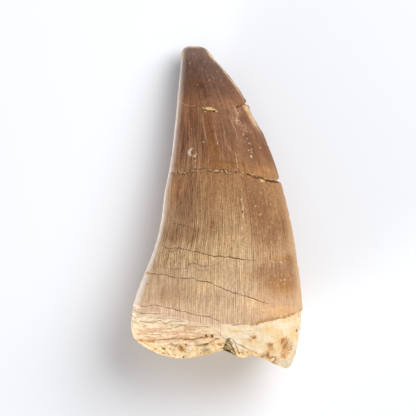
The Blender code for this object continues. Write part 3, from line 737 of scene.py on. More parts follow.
@dataclass
class Damage:
    """What time took from the smooth crown: ledges, cracks, breaks, pits, nibbled edges and a worn tip.

    All depths, sizes and reaches are in millimetres, apart from those across, which are shares of the width.
    """

    form: CrownForm
    enamel_thickness: float = 0.22
    layer_thickness: float = 0.28
    ledge_length: float = 0.3
    ledge_wander: float = 0.18
    ledge_wander_size: float = 0.9
    ledge_worn_across: float = 0.46
    ledge_worn_reach: float = 0.14
    enamel_worn_share: float = 0.6
    layer_worn_share: float = 0.9
    groove_share: float = 1.3
    step_reach: float = 1.2
    break_half_width: float = 0.14
    break_open_depth: float = 0.1
    break_open_across: float = 0.86
    break_open_reach: float = 0.09
    notch_half_width: float = 0.22
    notch_depth: float = 0.75
    notch_reach: float = 0.02
    nibble_depth: float = 0.24
    nibble_size: float = 0.9
    nibble_start: float = 0.05
    nibble_reach: float = 0.03
    chipped_edge: Range = (10.4, 15.6)
    chipped_fade: float = 3.0
    chipped_depth: float = 0.4
    wave_depth: float = 0.07
    wave_size: float = 5.0
    dent_depth: float = 0.03
    dent_size: float = 1.1
    dentine_depth: float = 0.13
    dentine_size: float = 0.8
    dentine_reach: float = 0.6
    ridge_height: float = 0.1
    ridge_half_width: float = 0.5
    tip_wear: float = 0.08
    tip_wear_size: float = 1.4
    tip_wear_end: float = 5.0
    tip_wear_fade: float = 4.0

    def distance(self, line: Line, at: Places) -> np.ndarray:
        """How far each place is from a line, in millimetres, more than 0 towards the base or the bulge.

        Args:
            line: the line.
            at: the places.

        Returns:
            The distances.
        """
        section, wander = self.form.section, line.ragged * at.wander
        if line.run is Run.CROSSWISE:
            return at.down - section.along(line.path, line.below) + wander
        return (section.across - SmoothCurve(line.path)(at.down)) * at.width + wander

    def reach(self, line: Line, at: Places) -> np.ndarray:
        """1 along a line and 0 beyond its ends or on the face that it isn't on.

        Args:
            line: the line.
            at: the places.

        Returns:
            A share for each place.
        """
        start, end = line.ends
        place = self.form.section.across if line.run is Run.CROSSWISE else at.down
        length = end - start
        begun = ease_in((place - start) / (line.fade_in * length))
        unfinished = ease_in((end - place) / (line.fade_out * length))
        return begun * unfinished * self.form.section.facing(line.face)

    def ledges(self, at: Places) -> np.ndarray:
        """The steps down where the enamel and the layer under it have flaked off.

        Args:
            at: the places.

        Returns:
            How far each place sinks, in millimetres.
        """
        section = self.form.section
        wander = self.ledge_wander * lumps(at.skin, self.ledge_wander_size, seed=11)
        depth = np.zeros_like(at.down)
        worn = ease_in((section.across - self.ledge_worn_across) / self.ledge_worn_reach)
        worn = worn * section.facing(Face.SHOWN)
        enamel = self.enamel_thickness * (1 - self.enamel_worn_share * worn)
        flaked = self.layer_thickness * (1 - self.layer_worn_share * worn)
        for course, thickness in ((ENAMEL_END, enamel), (FLAKED_LAYER, flaked)):
            past = at.down - section.along(course.shown, course.below) + wander
            depth = depth + thickness * step_up(past / self.ledge_length)
        return depth

    def grooves(self, at: Places) -> np.ndarray:
        """The open cracks, with the small step between their two sides.

        Args:
            at: the places.

        Returns:
            How far each place sinks, in millimetres.
        """
        depth = np.zeros_like(at.down)
        for line in LINES:
            if not line.groove and not line.step:
                continue
            away = self.distance(line, at)
            width = self.groove_share * line.half_width
            cut = line.groove * hill(away / width)
            drop = line.step * step_up(away / (2 * width)) * hill(np.maximum(away, 0.0) / self.step_reach)
            depth = depth + (cut + drop) * self.reach(line, at)
        return depth

    def breaks(self, at: Places) -> np.ndarray:
        """The places where the two glued breaks gape, and their notches in the bulging edge.

        Args:
            at: the places.

        Returns:
            How far each place sinks, in millimetres.
        """
        section = self.form.section
        gape = self.break_open_depth * hill((section.across - self.break_open_across) / self.break_open_reach)
        notch = self.notch_depth * hill((1 - section.across) / self.notch_reach)
        depth = np.zeros_like(at.down)
        for course in (TIP_BREAK, MIDDLE_BREAK):
            away = np.abs(at.down - section.along(course.shown, course.below))
            depth = depth + gape * section.facing(Face.SHOWN) * hill(away / self.break_half_width)
            depth = depth + notch * hill(away / self.notch_half_width)
        return depth

    def pits(self, at: Places) -> np.ndarray:
        """The chips and pits, and the one knob, which is a pit of less than no depth.

        Args:
            at: the places.

        Returns:
            How far each place sinks, in millimetres.
        """
        section, depth = self.form.section, np.zeros_like(at.down)
        for pit in PITS:
            sideways = (section.across - pit.across) * at.width / pit.radius
            along = (at.down - pit.down) / (pit.radius * pit.length_share)
            depth = depth + pit.depth * hill(np.hypot(sideways, along) ** 2) * section.facing(pit.face)
        return depth

    def notch_share(self, at: Places) -> np.ndarray:
        """1 inside the notch in the base and 0 outside it.

        Args:
            at: the places.

        Returns:
            A share for each place.
        """
        section = self.form.section
        past_left = (section.across - SmoothCurve(NOTCH.left)(at.down)) * at.width / NOTCH.wall
        past_right = (SmoothCurve(NOTCH.right)(at.down) - section.across) * at.width / NOTCH.wall
        past_apex = (at.down - NOTCH.left[0][0]) / NOTCH.wall
        inside = step_up(past_left) * step_up(past_right) * step_up(past_apex)
        return inside * section.facing(Face.SHOWN)

    def edges(self, at: Places) -> np.ndarray:
        """The nibbled cutting edges and the worn tip.

        Args:
            at: the places.

        Returns:
            How far each place sinks, in millimetres.
        """
        section = self.form.section
        near_edge = hill(np.minimum(section.across, 1 - section.across) / self.nibble_reach)
        bites = np.clip(lumps(at.skin, self.nibble_size, seed=5) - self.nibble_start, 0.0, 1.0)
        start, end = self.chipped_edge
        inside = ease_in(at.down - start) * ease_in((end - at.down) / self.chipped_fade)
        chipped = inside * hill((1 - section.across) / self.nibble_reach)
        worn = self.tip_wear * np.clip(lumps(at.skin, self.tip_wear_size, seed=6), 0.0, 1.0)
        worn = worn * ease_in((self.tip_wear_end - at.down) / self.tip_wear_fade)
        return self.nibble_depth * bites * near_edge + self.chipped_depth * chipped + worn

    def texture(self, at: Places) -> np.ndarray:
        """Slow waves and small dents in the enamel, the lengthwise ridge, and the rougher bare dentine.

        Args:
            at: the places.

        Returns:
            How far each place sinks, in millimetres.
        """
        section = self.form.section
        bare = ease_in((at.down - section.along(ENAMEL_END.shown, ENAMEL_END.below)) / self.dentine_reach)
        waves = self.wave_depth * lumps(at.skin, self.wave_size, seed=1)
        dents = self.dent_depth * lumps(at.skin, self.dent_size, seed=2)
        grit = self.dentine_depth * lumps(at.skin, self.dentine_size, seed=3, octaves=3) * bare
        crests = np.zeros_like(at.down)
        for line in PALE_STREAKS:
            if line.name.startswith("ridge"):
                crest = hill(self.distance(line, at) / self.ridge_half_width)
                crests = np.maximum(crests, crest * self.reach(line, at))
        return waves + dents + grit - self.ridge_height * crests

    def depth(self, at: Places) -> np.ndarray:
        """How far every kind of damage sinks each place on the crown."""
        carved = self.ledges(at) + self.grooves(at) + self.breaks(at) + self.pits(at)
        return carved + NOTCH.depth * self.notch_share(at) + self.edges(at) + self.texture(at)


@dataclass
class BrokenBase:
    """The broken end: a hollow end face, its rim, and the crumbly slope from the rim up to the brow.

    Attributes:
        face_reach: how far out the end face's first and last rows are, from 0 in the middle to 1 at the rim.
        slope_least: the share of the slope's drop that is left towards the bulging edge.
        ledges: how far the ledges stand out, at each share of the way from the rim to the brow.
        rim_power: how late, going out, the end face takes the rim's lobes.
        hollow_power: the same for its rise to the rim.
        calm_power: the same for its lumps dying out.
    """

    form: CrownForm
    damage: Damage
    face_rows: int = 22
    face_reach: Range = (0.04, 0.97)
    slope_rows: int = 19
    slope_drop: float = 3.6
    slope_drop_below: float = 1.6
    slope_full_across: float = 0.5
    slope_fade: float = 0.2
    slope_least: float = 0.25
    ledges: Points = ((0.0, 0.0), (0.2, 0.0), (0.34, 0.25), (0.42, 0.95), (0.55, 0.7), (0.68, 0.55),
                      (0.8, 0.85), (0.92, 0.35), (1.0, 0.0))
    rim_sink: float = 0.5
    rim_lumps: float = 0.5
    rim_lump_size: float = 2.2
    rim_crumbs: float = 0.275
    rim_crumb_shares: Scale = (0.3, 0.35, 0.6)
    rim_crumb_size: float = 0.7
    rim_blend: float = 6.0
    hollow: float = 2.6
    rim_power: int = 4
    hollow_power: int = 3
    calm_power: int = 6
    face_lumps: float = 1.5
    face_lump_size: float = 3.2
    face_grit: float = 0.35
    face_grit_size: float = 0.9
    slope_lumps: float = 0.5
    slope_lump_size: float = 1.6
    slope_rough_least: float = 0.35
    slope_shift: float = 0.25
    slope_shift_size: float = 0.9
    crumbs: float = 0.55
    crumb_size: float = 0.75

    def rim(self, slope_share: np.ndarray) -> np.ndarray:
        """The rim's ring of points.

        Args:
            slope_share: how much of the slope's drop each column has.

        Returns:
            One point for each column.
        """
        section = self.form.section
        ring = self.form.skin(section.along(RIM.shown, RIM.below), self.rim_sink)
        ring[:, 2] -= self.slope_drop * slope_share * np.clip(section.rise, 0, 1)
        ring[:, 2] += self.slope_drop_below * np.clip(-section.rise, 0, 1)
        return ring

    def end_face(self, rim: np.ndarray) -> tuple[np.ndarray, np.ndarray]:
        """The hollow end face.

        Args:
            rim: the rim's ring of points.

        Returns:
            The rows of points from the middle outwards, and how far out each one is, from 0 to 1 at the rim.
        """
        middle = rim.mean(axis=0)
        out = np.linspace(*self.face_reach, self.face_rows)[:, None]
        face = middle + (rim - middle) * out[..., None]
        face[..., 1] = middle[1] + (rim[:, 1] - middle[1]) * out ** self.rim_power
        face[..., 1] += self.hollow * (1 - out ** self.hollow_power)
        coarse = self.face_lumps * lumps(face, self.face_lump_size, seed=3)
        fine = self.face_grit * lumps(face, self.face_grit_size, seed=8, octaves=3)
        face[..., 1] += (1 - out ** self.calm_power) * (coarse + fine)
        return face, np.broadcast_to(out, face.shape[:2])

    def slope(self, rim: np.ndarray, slope_share: np.ndarray) -> np.ndarray:
        """The slope with its ledges, crumbs and notch.

        Args:
            rim: the rim's ring of points.
            slope_share: how much of the slope's drop each column has.

        Returns:
            The rows of points from the rim to just under the brow.
        """
        section = self.form.section
        brow = Places(self.form, section.along(BROW.shown, BROW.below))
        brow_depth = self.damage.depth(brow) - NOTCH.depth * self.damage.notch_share(brow)
        edge = self.form.skin(brow.down, brow_depth)
        up = np.linspace(0, 1, self.slope_rows, endpoint=False)[:, None]
        slope = rim + (edge - rim) * up[..., None]
        lift = SmoothCurve(self.ledges)(up) * slope_share
        middle = 4 * up * (1 - up)
        coarse = self.slope_lumps * lumps(slope, self.slope_lump_size, seed=4)
        fine = self.crumbs * middle * lumps(slope, self.crumb_size, seed=7, octaves=3)
        roughness = self.slope_rough_least + (1 - self.slope_rough_least) * slope_share
        raised = (lift + (coarse + fine) * roughness) * np.clip(section.rise, 0, 1)
        slope[..., 2] += raised * ease_in(up * self.rim_blend)
        slope[..., 1] += self.slope_shift * middle * lumps(slope, self.slope_shift_size, seed=10, octaves=2)
        places = Places(self.form, self.form.length / 2 - slope[..., 1])
        slope[..., 2] -= NOTCH.depth * self.damage.notch_share(places)
        return slope

    def rows(self) -> tuple[np.ndarray, np.ndarray]:
        """The rows of points from the middle of the end face to just under the brow.

        Returns:
            The points, and how far out on the end face each one is, from 0 in its middle to 1 at the rim.
        """
        fade = ease_in((self.form.section.across - self.slope_full_across) / self.slope_fade)
        slope_share = 1 - (1 - self.slope_least) * fade
        rim = self.rim(slope_share)
        face, out = self.end_face(rim)
        rim[:, 2] += self.rim_lumps * lumps(rim, self.rim_lump_size, seed=2)
        crumbs = self.rim_crumbs * lumps(rim, self.rim_crumb_size, seed=9, octaves=2)
        rim += crumbs[:, None] * np.array(self.rim_crumb_shares)
        slope = self.slope(rim, slope_share)
        return np.concatenate([face, slope]), np.concatenate([out, np.ones(slope.shape[:2])])


@dataclass
class ToothMesh:
    """The whole tooth as one closed mesh, with the attributes that its finishes read."""

    form: CrownForm = field(default_factory=CrownForm)
    row_spacing: float = 0.262
    groove_offsets: tuple[float, ...] = (0.3, 0.15, 0.07, 0.0, -0.07, -0.15, -0.3)
    ledge_offsets: tuple[float, ...] = (0.22, 0.08, 0.0, -0.08, -0.22)
    tip_rows: tuple[float, ...] = (2.6, 2.3, 2.0, 1.7, 1.45, 1.2, 0.98, 0.78, 0.6, 0.45, 0.33, 0.23, 0.15,
                                   0.08, 0.03)
    straight_radius: float = 12.4
    flare_start: float = 36.0
    turn_per_width: float = 2.36
    upright_gain: float = 2.5

    def __post_init__(self) -> None:
        """Makes the parts that the mesh is put together from."""
        self.damage = Damage(self.form)
        self.base = BrokenBase(self.form, self.damage)

    def crown_rows(self) -> np.ndarray:
        """How far down each point of the crown is, row by row from the brow to the tip.

        Returns:
            The distances from the tip, with the columns along the last axis.
        """
        section = self.form.section
        keys = [section.along(BROW.shown, BROW.below)]
        plan = ((FLAKED_LAYER, self.ledge_offsets), (ENAMEL_END, self.ledge_offsets),
                (LOWER_CRACK, self.groove_offsets), (UPPER_CRACK, self.groove_offsets),
                (MIDDLE_BREAK, self.groove_offsets), (TIP_BREAK, self.groove_offsets))
        for course, offsets in plan:
            line = section.along(course.shown, course.below)
            keys += [line + offset for offset in offsets]
        keys += [np.full(section.columns, down) for down in self.tip_rows]
        rows = [keys[0]]
        for lower, upper in zip(keys, keys[1:]):
            steps = max(1, round(float(np.mean(lower - upper)) / self.row_spacing))
            rows += [lower + (upper - lower) * step / steps for step in range(1, steps + 1)]
        return np.array(rows)

    def settled(self, points: np.ndarray) -> np.ndarray:
        """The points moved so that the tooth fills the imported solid's place and rests on the table.

        Args:
            points: the rows of points, in millimetres.

        Returns:
            The moved points.
        """
        low, high = (np.array(corner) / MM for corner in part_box("tooth"))
        own_low, own_high = points.min(axis=(0, 1)), points.max(axis=(0, 1))
        points = points + (low + high - own_low - own_high) / 2 * np.array([1, 1, 0])
        points[..., 2] += high[2] - own_high[2]
        points[..., 2] = np.maximum(points[..., 2], low[2])
        return points

    def build(self, name: str, finishes: list[Material]) -> Object:
        """Builds the mesh.

        Args:
            name: the piece's name.
            finishes: the materials, in the order of Layer.

        Returns:
            The object, linked to the scene.
        """
        crown_places = Places(self.form, self.crown_rows())
        crown = self.form.skin(crown_places.down, self.damage.depth(crown_places))
        base, base_out = self.base.rows()
        points = self.settled(np.concatenate([base, crown]))
        down = np.concatenate([self.form.length / 2 - base[..., 1], crown_places.down])
        out = np.concatenate([base_out, np.ones(crown.shape[:2])])
        mesh = self.closed_mesh(name, points)
        self.write_attributes(mesh, Places(self.form, down), out)
        for finish in finishes:
            mesh.materials.append(finish)
        mesh.polygons.foreach_set("material_index", self.layers(down, len(base)))
        mesh.shade_smooth()
        mesh.update()
        piece = bpy.data.objects.new(name, mesh)
        bpy.context.scene.collection.objects.link(piece)
        return piece

    def closed_mesh(self, name: str, points: np.ndarray) -> Mesh:
        """A closed mesh over a grid of rows, with a fan of faces at each end.

        Args:
            name: the mesh's name.
            points: the rows of points, in millimetres.

        Returns:
            The mesh, in metres.
        """
        rows, columns = points.shape[:2]
        here = np.arange(columns)
        after = (here + 1) % columns
        start = np.arange(rows - 1)[:, None] * columns
        quads = np.stack([start + here, start + columns + here, start + columns + after, start + after],
                         axis=-1)
        ends = [points[0].mean(axis=0), points[-1].mean(axis=0)]
        vertices = np.concatenate([points.reshape(-1, 3), ends]) * MM
        base_end, tip_end = rows * columns, rows * columns + 1
        last = (rows - 1) * columns
        fans = [(base_end, a, b) for a, b in zip(here, after)]
        fans += [(last + a, tip_end, last + b) for a, b in zip(here, after)]
        mesh = bpy.data.meshes.new(name)
        mesh.from_pydata(vertices.tolist(), [], quads.reshape(-1, 4).tolist() + fans)
        return mesh

    def layers(self, down: np.ndarray, base_rows: int) -> np.ndarray:
        """The material of each face, in the order of the mesh's faces.

        Args:
            down: how far down each point is, row by row.
            base_rows: how many of the rows belong to the broken base.

        Returns:
            The value of one Layer for each face.
        """
        section = self.form.section
        end = section.along(ENAMEL_END.shown, ENAMEL_END.below)
        middle = (down[:-1] + down[1:]) / 2
        layer = np.where(middle > end, Layer.DENTINE.value, Layer.ENAMEL.value)
        layer[:base_rows] = Layer.BROKEN.value
        fans = [np.full(section.columns, Layer.BROKEN.value), np.full(section.columns, Layer.ENAMEL.value)]
        return np.concatenate([layer.ravel(), *fans]).astype(np.int32)

    def write_attributes(self, mesh: Mesh, at: Places, out: np.ndarray) -> None:
        """Stores where each point is on the tooth, its distance from each line, and how stained it is.

        Args:
            mesh: the mesh to write to.
            at: the place of each point.
            out: how far out on the end face each point is.
        """
        section = self.form.section
        values = {
            "down": at.down,
            "across": np.broadcast_to(section.across, at.down.shape),
            "width": at.width,
            "face_out": out,
            "facing_up": np.broadcast_to(section.rise, at.down.shape),
            "notch": self.damage.notch_share(at),
        }
        radius = self.straight_radius * out
        turn = section.turn - self.upright_turn(at)
        values["straight"] = np.stack([radius * np.cos(turn), radius * np.sin(turn), at.down], axis=-1)
        values |= {line.attribute: self.damage.distance(line, at) for line in LINES}
        values |= {tint.value: self.stain(tint, at) for tint in Tint}
        for name, value in values.items():
            self.store(mesh, name, value)

    def upright_turn(self, at: Places) -> np.ndarray:
        """How far the fine lines shift round the flared base of the face shown, to run straight down it.

        Args:
            at: the place of each point.

        Returns:
            Angles in radians.
        """
        waist = np.minimum(at.down, self.flare_start)
        sideways = at.skin[..., 0] - self.form.skin(waist)[..., 0]
        shown = ease_in(self.form.section.rise * self.upright_gain)
        return self.turn_per_width * sideways / self.form.width(waist) * shown

    def stain(self, tint: Tint, at: Places) -> np.ndarray:
        """How strong one tint is at each place.

        Args:
            tint: the tint.
            at: the place of each point.

        Returns:
            Strengths from 0 to 1.
        """
        section, amount = self.form.section, np.zeros_like(at.down)
        for stain in STAINS[tint]:
            sideways = (section.across - stain.across) / stain.half_across
            away = np.hypot(sideways, (at.down - stain.down) / stain.half_down)
            amount = np.maximum(amount, stain.strength * hill(away) * section.facing(stain.face))
        return amount

    @staticmethod
    def store(mesh: Mesh, name: str, values: np.ndarray) -> None:
        """Writes one attribute, with its end rows' means at the two end points.

        Args:
            mesh: the mesh to write to.
            name: the attribute's name.
            values: a number or a vector for each point of the grid.
        """
        ends = [values[0].mean(axis=0), values[-1].mean(axis=0)]
        flat = np.concatenate([values.reshape(-1, *values.shape[2:]), ends]).astype(np.float32).ravel()
        if values.ndim == 3:
            mesh.attributes.new(name, "FLOAT_VECTOR", "POINT").data.foreach_set("vector", flat)
        else:
            mesh.attributes.new(name, "FLOAT", "POINT").data.foreach_set("value", flat)


class Sheet:
    """Adds nodes to one node tree, so that a finish reads as a list of formulas."""

    WARMTH = (0.8, 1.0, 1.2)

    def __init__(self, tree: NodeTree) -> None:
        """Starts on an existing tree."""
        self.tree = tree

    def node(self, kind: str, **settings: object) -> Node:
        """A new node with its properties set.

        Args:
            kind: the node's type.
            settings: its properties.

        Returns:
            The node.
        """
        made = self.tree.nodes.new(kind)
        for name, value in settings.items():
            setattr(made, name, value)
        return made

    def feed(self, socket: NodeSocket, value: object) -> None:
        """Links another socket to this one, or sets its constant.

        Args:
            socket: the input to feed.
            value: another socket or a constant.
        """
        if isinstance(value, NodeSocket):
            self.tree.links.new(value, socket)
        else:
            socket.default_value = value

    def math(self, operation: str, *values: object) -> NodeSocket:
        """One math node.

        Args:
            operation: the operation's name.
            values: sockets or constants, in the order of the node's inputs.

        Returns:
            The result.
        """
        made = self.node("ShaderNodeMath", operation=operation)
        for socket, value in zip(made.inputs, values):
            self.feed(socket, value)
        return made.outputs[0]

    def vector_math(self, operation: str, *values: object) -> NodeOutputs:
        """The outputs of one vector math node.

        Args:
            operation: the operation's name.
            values: sockets or constants, in the order of the node's inputs.

        Returns:
            The outputs, by name.
        """
        made = self.node("ShaderNodeVectorMath", operation=operation)
        for socket, value in zip(made.inputs, values):
            self.feed(socket, value)
        return made.outputs

    def product(self, first: object, *others: object) -> NodeSocket:
        """Several values multiplied."""
        for other in others:
            first = self.math("MULTIPLY", first, other)
        return first

    def swing(self, value: object) -> NodeSocket:
        """A value from 0 to 1, moved to swing round 0."""
        return self.math("SUBTRACT", value, 0.5)

    def strongest(self, first: object, *others: object) -> NodeSocket:
        """The largest of several values."""
        for other in others:
            first = self.math("MAXIMUM", first, other)
        return first

    def distance(self, sideways: object, along: object) -> NodeSocket:
        """How far a place is from the origin of a plane.

        Args:
            sideways: the place along one axis.
            along: the place along the other.

        Returns:
            The distance.
        """
        joined = self.node("ShaderNodeCombineXYZ")
        self.feed(joined.inputs["X"], sideways)
        self.feed(joined.inputs["Y"], along)
        return self.vector_math("LENGTH", joined.outputs["Vector"])["Value"]

    def between(self, value: object, low: object, high: object, to_low: object = 0.0,
                to_high: object = 1.0) -> NodeSocket:
        """A smooth step from one value to another.

        It holds its ends by itself. The node's own clamp stays off, because a material has limited room for
        values while it is worked out, and turns black without a warning when that room is full.

        Args:
            value: what the step depends on.
            low: where the step starts.
            high: where it ends, which can be less.
            to_low: the result at its start.
            to_high: the result at its end.

        Returns:
            The result.
        """
        made = self.node("ShaderNodeMapRange", interpolation_type="SMOOTHSTEP", clamp=False)
        for socket, number in zip(made.inputs, (value, low, high, to_low, to_high)):
            self.feed(socket, number)
        return made.outputs[0]

    def mix(self, share: object, first: object, second: object, blend: str = "MIX") -> NodeSocket:
        """A mix of two colours.

        Args:
            share: the second colour's share, from 0 to 1.
            first: a colour.
            second: another colour.
            blend: how the second goes over the first.

        Returns:
            The mixed colour.
        """
        made = self.node("ShaderNodeMix", data_type="RGBA", blend_type=blend, clamp_factor=True)
        for name, value in (("Factor_Float", share), ("A_Color", first), ("B_Color", second)):
            self.feed(next(s for s in made.inputs if s.identifier == name), value)
        return next(s for s in made.outputs if s.identifier == "Result_Color")

    def warmed(self, change: object) -> NodeSocket:
        """A dye from a change round 0. It works most in blue and least in red, as tooth stain does."""
        return self.vector_math("MULTIPLY_ADD", change, self.WARMTH, (1.0, 1.0, 1.0))["Vector"]

    def dyed(self, colour: object, *dyes: object) -> NodeSocket:
        """A colour multiplied by each of several dyes."""
        for dye in dyes:
            colour = self.vector_math("MULTIPLY", colour, dye)["Vector"]
        return colour

    def attribute(self, name: str, output: str = "Fac") -> NodeSocket:
        """A mesh attribute."""
        return self.node("ShaderNodeAttribute", attribute_name=name).outputs[output]

    def stretched(self, vector: object, scale: tuple[float, float, float]) -> NodeSocket:
        """A place with each of its axes scaled."""
        return self.vector_math("MULTIPLY", vector, scale)["Vector"]

    def noise(self, vector: object, scale: object, detail: float = 2.0, roughness: float = 0.5,
              distortion: float = 0.0) -> NodeSocket:
        """Noise between 0 and 1.

        Args:
            vector: where to read the noise.
            scale: how many lumps there are to a unit.
            detail: how many layers of finer lumps there are.
            roughness: how strong the finer lumps are.
            distortion: how far the pattern is warped.

        Returns:
            The noise.
        """
        made = self.node("ShaderNodeTexNoise")
        for name, value in (("Vector", vector), ("Scale", scale), ("Detail", detail),
                            ("Roughness", roughness), ("Distortion", distortion)):
            self.feed(made.inputs[name], value)
        return made.outputs["Fac"]

    def cells(self, vector: object, scale: object, feature: str = "F1") -> NodeSocket:
        """The distance to the nearest of many scattered points, or to the edges between their cells.

        Args:
            vector: where to read the pattern.
            scale: how many cells there are to a unit.
            feature: which of the two distances to give.

        Returns:
            The distance.
        """
        made = self.node("ShaderNodeTexVoronoi", feature=feature)
        self.feed(made.inputs["Vector"], vector)
        self.feed(made.inputs["Scale"], scale)
        return made.outputs["Distance"]

    def ramp(self, value: object, stops: tuple[tuple[float, Colour], ...]) -> NodeSocket:
        """A colour that changes along a value from 0 to 1.

        Args:
            value: the value.
            stops: each stop's place and colour, in rising order.

        Returns:
            The colour.
        """
        made = self.node("ShaderNodeValToRGB")
        self.feed(made.inputs["Fac"], value)
        elements = made.color_ramp.elements
        elements[0].position, elements[0].color = stops[0]
        elements[1].position, elements[1].color = stops[-1]
        for position, colour in stops[1:-1]:
            elements.new(position).color = colour
        return made.outputs["Color"]

    def group(self, tree: NodeTree, **inputs: object) -> NodeOutputs:
        """Places a node group.

        Args:
            tree: the group.
            inputs: a value or socket for each input, an underscore in its name standing for a space.

        Returns:
            The placed group's outputs.
        """
        made = self.node("ShaderNodeGroup", node_tree=tree)
        for name, value in inputs.items():
            self.feed(made.inputs[name.replace("_", " ")], value)
        return made.outputs


class GroupSheet(Sheet):
    """A new node group with named inputs and outputs."""

    KINDS = {"value": "NodeSocketFloat", "vector": "NodeSocketVector", "colour": "NodeSocketColor"}

    def __init__(self, name: str, inputs: dict[str, str], outputs: dict[str, str]) -> None:
        """Makes the group's sockets.

        Args:
            name: the group's name.
            inputs: each input's name and kind, one of KINDS.
            outputs: the same for the outputs.
        """
        super().__init__(bpy.data.node_groups.new(name, "ShaderNodeTree"))
        for direction, sockets in (("INPUT", inputs), ("OUTPUT", outputs)):
            for label, kind in sockets.items():
                self.tree.interface.new_socket(label, in_out=direction, socket_type=self.KINDS[kind])
        self.given = self.node("NodeGroupInput").outputs
        self.result = self.node("NodeGroupOutput").inputs

    def give(self, **outputs: object) -> NodeTree:
        """Links the outputs and returns the finished group.

        Args:
            outputs: a socket for each output, an underscore in its name standing for a space.

        Returns:
            The group.
        """
        for name, value in outputs.items():
            self.feed(self.result[name.replace("_", " ")], value)
        return self.tree


